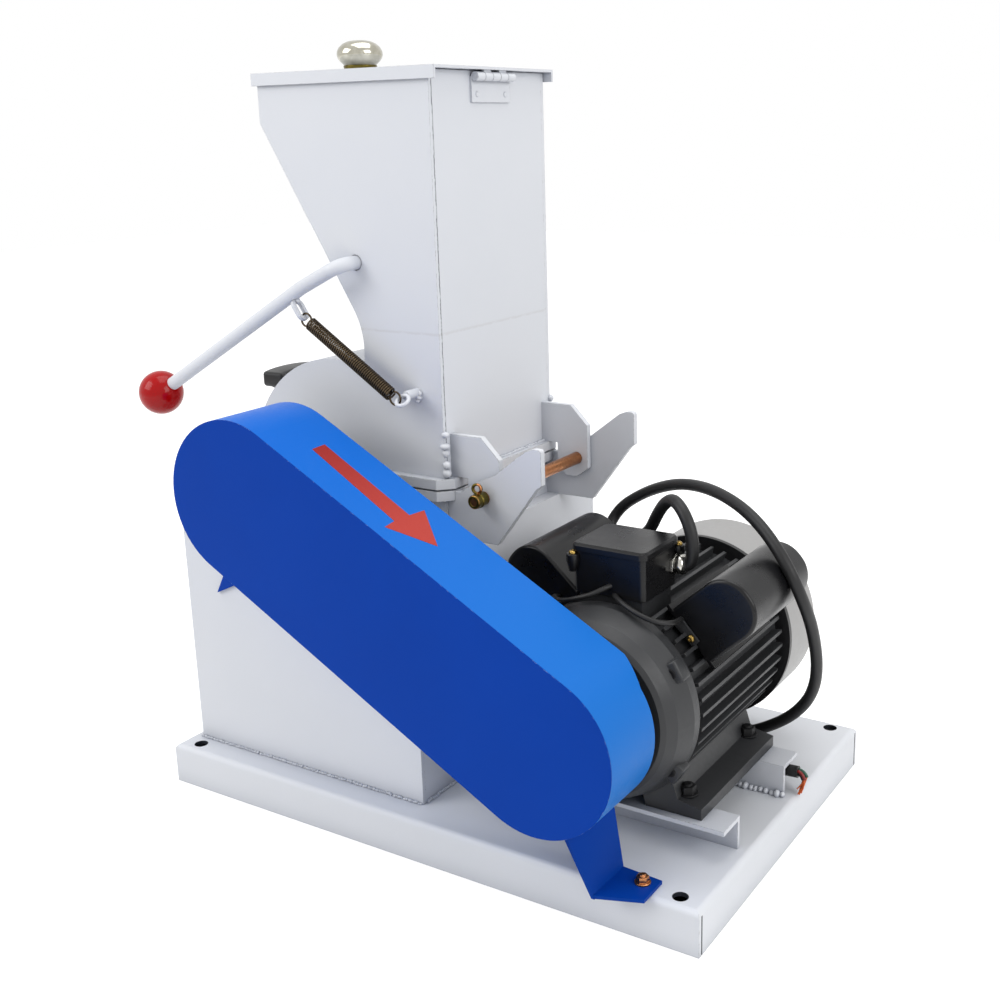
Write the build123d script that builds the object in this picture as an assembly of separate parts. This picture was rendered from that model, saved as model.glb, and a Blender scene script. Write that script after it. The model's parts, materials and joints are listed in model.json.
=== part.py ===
# Hammer crusher for laboratory samples, belt driven, on a folded base plate.
# Millimetres. Origin: middle of the base plate's underside. X runs along the base from the
# crusher to the motor, Y runs away from the belt guard, Z is up.
from build123d import *
from math import atan2, cos, degrees, hypot, pi, radians, sin, tan
import os

# Base plate, a folded tray that is open underneath
BASE_LENGTH = 580.0
BASE_WIDTH = 366.0
BASE_HEIGHT = 40.0
BASE_SHEET = 4.0
BASE_BEND = 5.5
BASE_SEAM = 1.4
BASE_SEAM_DEPTH = 1.5
HOLE_DIAMETER = 13.0
HOLE_INSET_X = 23.0
HOLE_INSET_Y = 13.5

# Stand, a welded box of sheet that carries the crusher
STAND_LENGTH = 280.0
STAND_MOTOR_FACE = 2.0
STAND_WIDTH = 312.0
STAND_HEIGHT = 231.0
STAND_SHEET = 4.0
MOUTH_WIDTH = 170.0
MOUTH_HEIGHT = 110.0
MOUTH_SILL = 14.0
CHUTE_SHEET = 3.0
CHUTE_RISE = 118.0

# Crusher chamber: the shaft, the two halves and the flanges between them
CRUSHER_X = -136.0
CHAMBER_Y = 8.0
CHAMBER_WIDTH = 180.0
SHAFT_HEIGHT = 278.0
CHAMBER_RADIUS = 108.5
LOWER_PLATE = 8.0
FLANGE_OUT_X = 8.0
FLANGE_OUT_Y = 9.0
FLANGE_THICK = 9.5
FLANGE_GAP = 1.5
SPLIT_DROP = 2.5
FLANGE_CORNER = 12.0
SHAFT_DIAMETER = 30.0
SHAFT_HOLE = 40.0
SHAFT_FIT = 0.05
SHAFT_OVER = 19.0
CHAMBER_BACK_X = -13.0

# Rotor and screen
DISC_RADIUS = 62.0
DISC_THICK = 8.0
DISC_COUNT = 5
HAMMER_PIN_RADIUS = 48.0
HAMMER_PIN_DIAMETER = 12.0
HAMMER_LENGTH = 52.0
HAMMER_WIDTH = 26.0
HAMMER_THICK = 12.0
SCREEN_RADIUS = 101.0
SCREEN_THICK = 5.0
SCREEN_SLOT = 8.0
SCREEN_SLOTS = 11

# Pillow blocks of the rotor's shaft
BEARING_WIDTH = 38.0
BEARING_HALF = 82.0
BEARING_FOOT = 16.0
BEARING_RADIUS = 38.0
BEARING_WAIST = 36.0
BEARING_NEAR_GAP = 25.0
BEARING_FAR_GAP = 14.0

# Hopper above the chamber
SHEET = 4.0
HOPPER_TOP = 681.0
HOPPER_FRONT_X = -207.5
HOPPER_FRONT_DROP = 41.0
NECK_X = -99.0
NECK_RISE = 31.5
NECK_STRAIGHT = 12.0

# Hinge between the halves
ROD_X = 27.0
ROD_Z = 313.0
ROD_DIAMETER = 12.0
ROD_FIT = 0.03
ROD_RUNNING = 0.15
EAR_THICK = 6.5
EAR_GAP = 0.6
EAR_OUTER = 87.5
EAR_CORNER_DROP = 0.5
EAR_SHOULDER = 25.0
EAR_ARM_ROOT = 22.5
EAR_ARM_REACH = 61.0
EAR_ARM_RISE = 50.5
EAR_ARM_END = 32.0
EAR_FOOT_REACH = 13.5
TILT_EAR_TOP = 53.0
TILT_EAR_REACH = 12.5
TILT_EAR_LOW = 19.0
TILT_EAR_SHOULDER = 22.0
ROD_NEAR_OVER = 16.0
ROD_FAR_OVER = 9.0
COTTER_DIAMETER = 2.4
COTTER_RING = 4.0
COTTER_FROM_END = 6.0
COTTER_OUT = 1.0

# Feed gate: lever, flap and return spring
LEVER_X = -103.5
LEVER_Z = 517.0
LEVER_DIAMETER = 13.0
LEVER_OUT = 22.0
LEVER_BEND = 14.0
LEVER_KNEE_X = -150.0
LEVER_KNEE_Z = 495.0
LEVER_KNEE_BEND = 60.0
BALL_X = -350.0
BALL_Z = 380.0
BALL_DIAMETER = 44.0
LEVER_RUNNING = 0.6
LEVER_FAR_OVER = 6.0
GATE_SLOPE = 29.0
GATE_SHEET = 4.0
GATE_HUB = 4.0
GATE_SIDE_GAP = 5.0
GATE_TIP_GAP = 5.0
EYE_WIRE = 3.5
EYE_WIDTH = 13.0
EYE_SPAN = 9.0
EYE_X = -154.0
EYE_Z = 474.5
EYE_TURN = -56.0
SPRING_DIAMETER = 13.0
SPRING_WIRE = 2.0
HOOK_RADIUS = 6.0
HOOK_SLACK = 0.8
LUG_X = -40.0
LUG_Z = 400.0
LUG_STEM = 8.0
LUG_RING = 6.0
LUG_WIRE = 3.5
LUG_TILT = 38.0

# Lid, its hinge and its knob
LID_SHEET = 2.5
LID_LIP = 11.0
LID_GAP = 1.2
LID_BACK_OVER = 9.0
LID_LIFT = 0.6
LID_HINGE_WIDTH = 60.0
LID_HINGE_DROP = 27.0
LID_HINGE_SHEET = 2.0
LID_PIN_OUT = 5.5
LID_PIN_DROP = 5.0
LID_PIN_DIAMETER = 4.0
LID_PIN_RUNNING = 0.05
KNUCKLE_DIAMETER = 8.0
KNOB_X = -160.0
KNOB_DIAMETER = 43.5
KNOB_HEIGHT = 30.5
KNOB_NECK = 30.0
KNOB_SKIRT = 4.0

# Pull handle on the chamber cover
HANDLE_ANGLE = 147.0
HANDLE_SPAN = 130.0
HANDLE_STAND = 38.5
HANDLE_BAR = 15.0
HANDLE_FOOT = 17.0

# Motor with two capacitors, frame size 90
MOTOR_X = 164.0
MOTOR_SHAFT_HEIGHT = 90.0
MOTOR_Y = -27.0
MOTOR_BODY_FRONT = -100.0
MOTOR_BODY_REAR = 84.0
MOTOR_CORE = 77.0
FIN_HEIGHT = 9.0
FIN_THICK = 3.0
FIN_COUNT = 40
SHIELD_FRONT = -140.0
SHIELD_RADIUS = 86.0
SHIELD_FACE_RADIUS = 74.0
BOSS_RADIUS = 30.0
MOTOR_SHAFT_DIAMETER = 24.0
COWL_RADIUS = 91.0
COWL_LENGTH = 74.0
COWL_OVERLAP = 6.0
COWL_ROUND = 14.0
FOOT_ACROSS = 180.0
FOOT_LENGTH = 155.0
FOOT_WIDTH = 46.0
FOOT_THICK = 10.0
FOOT_HOLES_ACROSS = 140.0
FOOT_HOLES_ALONG = 125.0
FOOT_HOLE = 10.0
CAP_ANGLE = 42.0
CAP_LENGTH = 118.0
CAP_FRONT = -72.0
CAP_WIDTH = 55.0
CAP_HEIGHT = 69.5
CAP_SEAT = 84.0
CAP_ROUND = 26.0
CAP_LIP = 5.0
CAP_LIP_THICK = 3.0
BOX_WIDTH = 68.0
BOX_LENGTH = 60.0
BOX_HEIGHT = 43.0
BOX_Y = -68.0
BOX_SEAT = 90.3
BOX_LID = 7.0
BOX_LID_OVER = 2.0
BOX_ROUND = 5.0
GLAND_Y = -45.0
GLAND_Z = 269.0
GLAND_LENGTH = 6.0
GLAND_DIAMETER = 19.0

# Angle rails under the motor feet
RAIL_HEIGHT = 30.0
RAIL_FLANGE = 32.0
RAIL_SHEET = 4.0
RAIL_LENGTH = 222.0
RAIL_END_X = 278.0
RAIL_NEAR_Y = -80.0
RAIL_FAR_Y = 17.0

# Belt drive and its guard
CRUSHER_PULLEY = 112.0
MOTOR_PULLEY = 100.0
PULLEY_WIDTH = 36.0
PULLEY_FROM_GUARD = 34.0
GROOVE_PITCH = 15.0
GROOVE_WIDTH = 12.0
GROOVE_DEPTH = 9.0
BELT_THICK = 8.0
GUARD_RADIUS = 71.5
GUARD_SHIFT = 2.0
GUARD_CRUSHER_LIFT = 8.0
GUARD_MOTOR_LIFT = 3.5
GUARD_DEPTH = 70.0
GUARD_SHEET = 2.0
RIM_OVER = 12.0
RIM_END_HIGH = 5.0
RIM_END_LOW = 33.0
TAB_START = -31.0
TAB_WIDTH = 20.0
TAB_REACH = 85.0
TAB_CUT = 27.0
TAB_SHEET = 3.0
GUARD_FOOT_X = 207.0
GUARD_FOOT_LENGTH = 39.5
GUARD_FOOT_Y = -207.0
GUARD_FOOT_WIDTH = 49.0
GUARD_FOOT_TAPER = 15.0
GUARD_FOOT_SHEET = 3.0
GUARD_FOOT_NEAR_LEAN = 34.0
GUARD_FOOT_FAR_LEAN = 10.0

# Power cable: control points of its route, chosen by eye
CABLE_DIAMETER = 11.0
CABLE_ROUTE = [
    (204.0, -45.0, 269.0),
    (210.6, -45.0, 269.0),
    (216.3, -45.0, 272.3),
    (219.6, -45.0, 278.0),
    (219.0, -45.0, 290.0),
    (214.0, -43.0, 304.0),
    (202.0, -37.0, 316.0),
    (187.0, -27.0, 320.0),
    (171.0, -13.0, 310.0),
    (157.0, 1.0, 293.0),
    (145.0, 15.0, 276.0),
    (131.0, 31.0, 264.0),
    (113.0, 49.0, 254.0),
    (94.0, 64.0, 244.0),
    (76.0, 78.0, 240.0),
    (65.0, 92.0, 246.0),
    (70.0, 101.0, 260.0),
    (90.0, 101.0, 277.0),
    (115.0, 92.0, 291.0),
    (142.0, 80.0, 301.0),
    (171.0, 66.0, 305.0),
    (200.0, 50.0, 306.0),
    (229.3, 30.0, 302.6),
    (255.7, 15.0, 292.2),
    (277.5, 3.0, 275.6),
    (290.9, 0.0, 256.3),
    (295.3, 10.0, 233.0),
    (295.5, 27.0, 208.8),
    (292.6, 44.0, 183.3),
    (287.8, 59.0, 158.4),
    (280.1, 71.0, 133.4),
    (267.0, 79.0, 112.0),
    (248.0, 82.0, 90.0),
    (222.0, 84.0, 70.0),
    (196.0, 82.0, 55.0),
    (172.0, 81.0, 47.0),
    (156.0, 67.0, 45.9),
    (156.0, 47.0, 45.9),
    (171.0, 32.0, 45.9),
    (194.0, 31.0, 45.9),
    (220.0, 32.0, 46.5),
    (243.0, 32.0, 51.0),
    (262.0, 32.0, 57.0),
    (282.0, 32.0, 57.0),
]
CORE_DIAMETER = 2.6
CORE_GAP = 0.3
CORE_BEND = 3.6
CORE_DROP = 16.0

# Sizes worked out from the ones above
base_top = BASE_HEIGHT
stand_x1 = STAND_MOTOR_FACE
stand_x0 = stand_x1 - STAND_LENGTH
stand_top = base_top + STAND_HEIGHT
shaft_z = base_top + SHAFT_HEIGHT
split_z = shaft_z - SPLIT_DROP
lower_flange_z0 = split_z - FLANGE_THICK
upper_flange_z0 = split_z + FLANGE_GAP
upper_z = upper_flange_z0 + FLANGE_THICK
chamber_y0 = CHAMBER_Y - CHAMBER_WIDTH / 2
chamber_y1 = CHAMBER_Y + CHAMBER_WIDTH / 2
chamber_x1 = CHAMBER_BACK_X
chamber_x0 = CRUSHER_X - (CHAMBER_BACK_X - CRUSHER_X)
flange_x0 = chamber_x0 - FLANGE_OUT_X
flange_x1 = chamber_x1 + FLANGE_OUT_X
flange_y0 = chamber_y0 - FLANGE_OUT_Y
flange_y1 = chamber_y1 + FLANGE_OUT_Y
cover_top = shaft_z + CHAMBER_RADIUS
neck_z = cover_top + NECK_RISE
slope_top_z = HOPPER_TOP - HOPPER_FRONT_DROP
neck_half_turn = atan2(NECK_X - HOPPER_FRONT_X, slope_top_z - neck_z) / 2
neck_bend = (NECK_RISE - NECK_STRAIGHT) / tan(neck_half_turn)
rail_top = base_top + RAIL_HEIGHT
motor_z = rail_top + MOTOR_SHAFT_HEIGHT
guard_back_y = -STAND_WIDTH / 2
guard_face_y = guard_back_y - GUARD_DEPTH
pulley_y = guard_face_y + PULLEY_FROM_GUARD
guard_x0 = CRUSHER_X + GUARD_SHIFT
guard_z0 = shaft_z + GUARD_CRUSHER_LIFT
guard_x1 = MOTOR_X + GUARD_SHIFT
guard_z1 = motor_z + GUARD_MOTOR_LIFT
guard_slope = degrees(atan2(guard_z1 - guard_z0, guard_x1 - guard_x0))
bearing_y = {
    "near": chamber_y0 - BEARING_NEAR_GAP - BEARING_WIDTH / 2,
    "far": chamber_y1 + BEARING_FAR_GAP + BEARING_WIDTH / 2,
}
ear_y = {
    "near": CHAMBER_Y - EAR_OUTER,
    "far": CHAMBER_Y + EAR_OUTER - EAR_THICK,
}
tilt_y = {
    "near": ear_y["near"] + EAR_THICK + EAR_GAP,
    "far": ear_y["far"] - EAR_THICK - EAR_GAP,
}
lid_pin_x = CHAMBER_BACK_X + LID_PIN_OUT
lid_pin_z = HOPPER_TOP - LID_PIN_DROP
lever_y = chamber_y0 - LEVER_OUT


def block(x0, x1, y0, y1, z0, z1):
    """A rectangular block between two corners."""
    middle = Pos((x0 + x1) / 2, (y0 + y1) / 2, (z0 + z1) / 2)
    return middle * Box(x1 - x0, y1 - y0, z1 - z0)


def plate_y(profile, y0, y1):
    """A profile drawn in X and Z, made solid from y0 to y1."""
    return extrude(Plane.XZ.offset(-y1) * profile, y1 - y0)


def disc_y(x, z, radius, y0, y1):
    """A round bar or disc along Y."""
    return plate_y(Pos(x, z) * Circle(radius), y0, y1)


def disc_z(x, y, radius, z0, z1):
    """A round bar or disc along Z."""
    return Pos(x, y, (z0 + z1) / 2) * Cylinder(radius, z1 - z0)


def outline(*points):
    """A closed flat outline with straight sides."""
    return make_face(Polyline(*points, close=True))


def rounded(face, point, radius):
    """The face with the corner nearest to the point rounded."""
    corner = face.vertices().sort_by_distance(Vector(point[0], point[1], 0))[0]
    return fillet(corner, radius)


def turned_y(x, z, profile):
    """A turned piece on an axis along Y; the profile gives radius and distance along Y."""
    ring = make_face(Polyline(*profile, close=True))
    return Pos(x, 0, z) * revolve(ring, Axis.Y)


def base_plate():
    """Folded tray with rounded top edges, four fixing holes and open corner seams."""
    half_l = BASE_LENGTH / 2
    half_w = BASE_WIDTH / 2
    outer = block(-half_l, half_l, -half_w, half_w, 0, BASE_HEIGHT)
    outer = fillet(outer.faces().sort_by(Axis.Z)[-1].edges(), BASE_BEND)
    in_l = half_l - BASE_SHEET
    in_w = half_w - BASE_SHEET
    inner = block(-in_l, in_l, -in_w, in_w, -1, BASE_HEIGHT - BASE_SHEET)
    inner = fillet(inner.faces().sort_by(Axis.Z)[-1].edges(), BASE_BEND - BASE_SHEET)
    tray = outer - inner
    for sx in (-1, 1):
        for sy in (-1, 1):
            x = sx * (half_l - HOLE_INSET_X)
            y = sy * (half_w - HOLE_INSET_Y)
            tray -= disc_z(x, y, HOLE_DIAMETER / 2, BASE_HEIGHT / 2, BASE_HEIGHT + 1)
            seam_y = sy * (half_w - BASE_SHEET - BASE_SEAM / 2)
            seam_z = (BASE_HEIGHT - BASE_BEND) / 2
            groove = Box(2 * BASE_SEAM_DEPTH, BASE_SEAM, BASE_HEIGHT - BASE_BEND)
            tray -= Pos(sx * half_l, seam_y, seam_z) * groove
    return tray


def stand_side(y0):
    """One of the two long walls of the stand."""
    return block(stand_x0, stand_x1, y0, y0 + STAND_SHEET, base_top, stand_top)


def stand_walls():
    """The four walls and the top of the stand, each a sheet of its own."""
    half = STAND_WIDTH / 2
    inside = half - STAND_SHEET
    pieces = {
        "stand_near_wall": stand_side(-half),
        "stand_far_wall": stand_side(half - STAND_SHEET),
        "stand_motor_wall": block(
            stand_x1 - STAND_SHEET, stand_x1, -inside, inside, base_top, stand_top
        ),
    }
    outer = block(stand_x0, stand_x0 + STAND_SHEET, -inside, inside, base_top, stand_top)
    mouth_z = base_top + MOUTH_SILL
    outer -= block(
        stand_x0 - 1,
        stand_x0 + STAND_SHEET + 1,
        CHAMBER_Y - MOUTH_WIDTH / 2,
        CHAMBER_Y + MOUTH_WIDTH / 2,
        mouth_z,
        mouth_z + MOUTH_HEIGHT,
    )
    pieces["stand_outer_wall"] = outer
    top = block(
        stand_x0 + STAND_SHEET,
        stand_x1 - STAND_SHEET,
        -inside,
        inside,
        stand_top - STAND_SHEET,
        stand_top,
    )
    top -= block(
        chamber_x0, chamber_x1, chamber_y0, chamber_y1, stand_top - 2 * STAND_SHEET, stand_top + 1
    )
    pieces["stand_top"] = top
    return pieces


def discharge_chute():
    """Sloping sheet with side cheeks that leads crushed grain out of the mouth."""
    x0 = stand_x0 + STAND_SHEET
    x1 = stand_x1 - STAND_SHEET
    z0 = base_top + MOUTH_SILL - CHUTE_SHEET
    z1 = z0 + CHUTE_RISE
    slope = outline((x0, z0), (x0, z0 + CHUTE_SHEET), (x1, z1 + CHUTE_SHEET), (x1, z1))
    y0 = CHAMBER_Y - MOUTH_WIDTH / 2
    y1 = CHAMBER_Y + MOUTH_WIDTH / 2
    floor = plate_y(slope, y0, y1)
    legs = block(x0, x0 + CHUTE_SHEET, y0, y1, base_top, z0 + CHUTE_SHEET / 2)
    return floor + legs


def shaft_notch(y0, y1):
    """The clearance hole for the shaft, used on everything it passes through."""
    return disc_y(CRUSHER_X, shaft_z, SHAFT_HOLE / 2, y0, y1)


def lower_chamber():
    """Side plates, end walls and flange of the fixed lower half."""
    low = shaft_z - SCREEN_RADIUS - SCREEN_THICK - 6
    side = outline(
        (chamber_x0, lower_flange_z0),
        (chamber_x0, low),
        (chamber_x1, low),
        (chamber_x1, lower_flange_z0),
    )
    side = rounded(side, (chamber_x0, low), 70)
    side = rounded(side, (chamber_x1, low), 70)
    cut = shaft_notch(flange_y0 - 1, flange_y1 + 1)
    near = plate_y(side, chamber_y0, chamber_y0 + LOWER_PLATE) - cut
    far = plate_y(side, chamber_y1 - LOWER_PLATE, chamber_y1) - cut
    inner_y0 = chamber_y0 + LOWER_PLATE
    inner_y1 = chamber_y1 - LOWER_PLATE
    end_low = stand_top - 3 * STAND_SHEET
    outer_end = block(
        chamber_x0, chamber_x0 + LOWER_PLATE, inner_y0, inner_y1, end_low, lower_flange_z0
    )
    motor_end = block(
        chamber_x1 - LOWER_PLATE, chamber_x1, inner_y0, inner_y1, end_low, lower_flange_z0
    )
    return {
        "lower_near_plate": near,
        "lower_far_plate": far,
        "lower_outer_wall": outer_end,
        "lower_motor_wall": motor_end,
        "lower_flange": flange(lower_flange_z0, LOWER_PLATE),
    }


def flange(z0, inside):
    """A flat frame around the chamber, notched for the shaft."""
    ring = block(flange_x0, flange_x1, flange_y0, flange_y1, z0, z0 + FLANGE_THICK)
    ring = chamfer(ring.edges().filter_by(Axis.Z), FLANGE_CORNER)
    ring -= block(
        chamber_x0 + inside,
        chamber_x1 - inside,
        chamber_y0 + inside,
        chamber_y1 - inside,
        z0 - 1,
        z0 + FLANGE_THICK + 1,
    )
    return ring - shaft_notch(flange_y0 - 1, flange_y1 + 1)


def screen_grate():
    """Curved screen with slots, held between the lower side plates."""
    y0 = chamber_y0 + LOWER_PLATE
    y1 = chamber_y1 - LOWER_PLATE
    outer = disc_y(CRUSHER_X, shaft_z, SCREEN_RADIUS + SCREEN_THICK, y0, y1)
    inner = disc_y(CRUSHER_X, shaft_z, SCREEN_RADIUS, y0 - 1, y1 + 1)
    shell = outer - inner
    reach = SCREEN_RADIUS + SCREEN_THICK + 1
    top = stand_top - 3 * STAND_SHEET
    shell -= block(CRUSHER_X - reach, CRUSHER_X + reach, y0 - 1, y1 + 1, top, shaft_z + reach)
    margin = 14.0
    for i in range(SCREEN_SLOTS):
        angle = -90 + (i - (SCREEN_SLOTS - 1) / 2) * 11.0
        slot = Box(4 * SCREEN_THICK, y1 - y0 - 2 * margin, SCREEN_SLOT)
        place = Pos(CRUSHER_X, CHAMBER_Y, shaft_z) * Rot(0, -angle, 0)
        shell -= place * Pos(SCREEN_RADIUS + SCREEN_THICK / 2, 0, 0) * slot
    return shell


def rotor():
    """Shaft, discs and hammer pins in one piece, as they turn together."""
    y_end = bearing_y["far"] + BEARING_WIDTH / 2 + SHAFT_OVER
    body = disc_y(CRUSHER_X, shaft_z, SHAFT_DIAMETER / 2, pulley_y - PULLEY_WIDTH / 2 - 4, y_end)
    span = CHAMBER_WIDTH - 2 * LOWER_PLATE - 2 * DISC_THICK
    pitch = (span - DISC_THICK) / (DISC_COUNT - 1)
    first = CHAMBER_Y - span / 2
    for i in range(DISC_COUNT):
        y0 = first + i * pitch
        body += disc_y(CRUSHER_X, shaft_z, DISC_RADIUS, y0, y0 + DISC_THICK)
    for i in range(4):
        angle = radians(45 + 90 * i)
        x = CRUSHER_X + HAMMER_PIN_RADIUS * cos(angle)
        z = shaft_z + HAMMER_PIN_RADIUS * sin(angle)
        body += disc_y(x, z, HAMMER_PIN_DIAMETER / 2, first, first + span)
    return body


def rotor_hammers():
    """Four rows of flat hammers on their pins, between the discs."""
    span = CHAMBER_WIDTH - 2 * LOWER_PLATE - 2 * DISC_THICK
    pitch = (span - DISC_THICK) / (DISC_COUNT - 1)
    first = CHAMBER_Y - span / 2
    hammers = []
    for i in range(4):
        angle = 45 + 90 * i
        for k in range(DISC_COUNT - 1):
            if (i + k) % 2:
                continue
            y_mid = first + k * pitch + (pitch + DISC_THICK) / 2
            bar = Box(HAMMER_LENGTH, HAMMER_THICK, HAMMER_WIDTH)
            bar = Pos(HAMMER_LENGTH / 2 - HAMMER_WIDTH / 2, 0, 0) * bar
            bar -= Rot(90, 0, 0) * Cylinder(HAMMER_PIN_DIAMETER / 2, HAMMER_THICK + 2)
            place = Pos(CRUSHER_X, y_mid, shaft_z) * Rot(0, -angle, 0)
            hammers.append(place * Pos(HAMMER_PIN_RADIUS, 0, 0) * bar)
    return Compound(children=hammers)


def bearing(y_mid):
    """Pillow block on the stand's top."""
    y0 = y_mid - BEARING_WIDTH / 2
    y1 = y_mid + BEARING_WIDTH / 2
    foot = Pos(CRUSHER_X, stand_top + BEARING_FOOT / 2) * Rectangle(2 * BEARING_HALF, BEARING_FOOT)
    waist_high = shaft_z - stand_top
    waist = Pos(CRUSHER_X, stand_top + waist_high / 2) * Rectangle(2 * BEARING_WAIST, waist_high)
    body = foot + waist + Pos(CRUSHER_X, shaft_z) * Circle(BEARING_RADIUS)
    bore = disc_y(CRUSHER_X, shaft_z, SHAFT_DIAMETER / 2 + SHAFT_FIT, y0 - 1, y1 + 1)
    return plate_y(body, y0, y1) - bore


def pulley(x, z, diameter, bore):
    """Two-groove pulley with a web."""
    half = PULLEY_WIDTH / 2
    outer = diameter / 2
    wheel = disc_y(x, z, outer, pulley_y - half, pulley_y + half)
    for side in (-1, 1):
        mid = side * GROOVE_PITCH / 2
        ring = [
            (outer + 1, mid - GROOVE_WIDTH / 2 - 0.4),
            (outer - GROOVE_DEPTH, mid - GROOVE_WIDTH / 2 + 3),
            (outer - GROOVE_DEPTH, mid + GROOVE_WIDTH / 2 - 3),
            (outer + 1, mid + GROOVE_WIDTH / 2 + 0.4),
        ]
        wheel -= Pos(0, pulley_y, 0) * turned_y(x, z, ring)
    dish = Pos(x, pulley_y, z) * Rot(90, 0, 0)
    for side in (-1, 1):
        recess = Cylinder(outer - 18, half) - Cylinder(bore / 2 + 9, half + 2)
        wheel -= dish * Pos(0, 0, side * (half / 2 + 5)) * recess
    return wheel - disc_y(x, z, bore / 2 + 0.03, pulley_y - half - 1, pulley_y + half + 1)


def capsule_between(ax, az, bx, bz, radius_a, radius_b):
    """Two circles joined by their outer tangents."""
    length = hypot(bx - ax, bz - az)
    along = atan2(bz - az, bx - ax)
    lean = (radius_a - radius_b) / length
    side = atan2((1 - lean * lean) ** 0.5, lean)
    corners = []
    for sign in (1, -1):
        angle = along + sign * side
        start = (ax + radius_a * cos(angle), az + radius_a * sin(angle))
        end = (bx + radius_b * cos(angle), bz + radius_b * sin(angle))
        corners.append((start, end))
    band = outline(corners[0][0], corners[0][1], corners[1][1], corners[1][0])
    return band + Pos(ax, az) * Circle(radius_a) + Pos(bx, bz) * Circle(radius_b)


def drive_belts():
    """Two V belts round both pulleys, each one closed loop."""
    belts = []
    depth_a = CRUSHER_PULLEY / 2 - GROOVE_DEPTH + 1.2
    depth_b = MOTOR_PULLEY / 2 - GROOVE_DEPTH + 1.2
    ends = (CRUSHER_X, shaft_z, MOTOR_X, motor_z)
    outer = capsule_between(*ends, depth_a + BELT_THICK, depth_b + BELT_THICK)
    inner = capsule_between(*ends, depth_a, depth_b)
    for side in (-1, 1):
        mid = pulley_y + side * GROOVE_PITCH / 2
        loop = plate_y(outer, mid - 3.0, mid + 3.0) - plate_y(inner, mid - 4, mid + 4)
        belts.append(loop)
    return Compound(children=belts)


def guard_outline(inset):
    """Outline of the belt guard, drawn in by the inset."""
    radius = GUARD_RADIUS - inset
    return capsule_between(guard_x0, guard_z0, guard_x1, guard_z1, radius, radius)


def belt_guard():
    """Sheet cover over the belts, open at the back, with a tab that lies on the stand."""
    shell = plate_y(guard_outline(0), guard_face_y, guard_back_y)
    shell -= plate_y(guard_outline(GUARD_SHEET), guard_face_y + GUARD_SHEET, guard_back_y + 1)
    end = TAB_START + TAB_WIDTH
    low = -GUARD_RADIUS - TAB_REACH
    root = -GUARD_RADIUS / 2
    tab = outline((TAB_START, root), (TAB_START, low), (end, low + TAB_CUT), (end, root))
    tab = Pos(guard_x0, guard_z0) * Rot(0, 0, guard_slope) * tab
    tab = plate_y(tab, guard_back_y - TAB_SHEET, guard_back_y)
    inside = plate_y(guard_outline(GUARD_SHEET), guard_back_y - 2 * TAB_SHEET, guard_back_y + 1)
    return shell + guard_rim() + (tab - inside)


def guard_rim():
    """Upper part of the guard's rim, which reaches further over the stand and the motor."""
    ring = plate_y(guard_outline(0) - guard_outline(GUARD_SHEET), guard_back_y - 1, guard_back_y + RIM_OVER)
    length = hypot(guard_x1 - guard_x0, guard_z1 - guard_z0)
    reach = length + 2 * GUARD_RADIUS
    rim = outline(
        (-reach, guard_back_y - 1),
        (RIM_END_LOW, guard_back_y - 1),
        (RIM_END_LOW, guard_back_y),
        (RIM_END_HIGH, guard_back_y + RIM_OVER),
        (-reach, guard_back_y + RIM_OVER),
    )
    keep = extrude(rim, 2 * GUARD_RADIUS)
    return ring & (Pos(guard_x1, 0, guard_z1) * Rot(0, -guard_slope, 0) * keep)


def guard_foot():
    """Twisted strap that carries the motor end of the guard, with a pad on the base plate."""
    x0 = GUARD_FOOT_X
    x1 = GUARD_FOOT_X + GUARD_FOOT_LENGTH
    y0 = GUARD_FOOT_Y
    y1 = GUARD_FOOT_Y + GUARD_FOOT_WIDTH
    sheet = GUARD_FOOT_SHEET
    pad = outline((x0, y0), (x1, y0 + GUARD_FOOT_TAPER), (x1, y1 - sheet), (x0, y1))
    pad = Pos(0, 0, base_top) * extrude(pad, sheet)
    meet_z = guard_z1 - GUARD_RADIUS
    low = outline((x0, y0), (x0 + sheet, y0), (x0 + sheet, y1), (x0, y1))
    near_x = x0 - GUARD_FOOT_NEAR_LEAN
    far_x = x0 - GUARD_FOOT_FAR_LEAN
    high = outline((near_x, y0), (near_x + sheet, y0), (far_x + sheet, y1), (far_x, y1))
    strap = loft([Pos(0, 0, base_top) * low, Pos(0, 0, meet_z + 4 * sheet) * high])
    strap -= plate_y(guard_outline(0), guard_face_y, guard_back_y)
    return pad + strap


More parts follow.
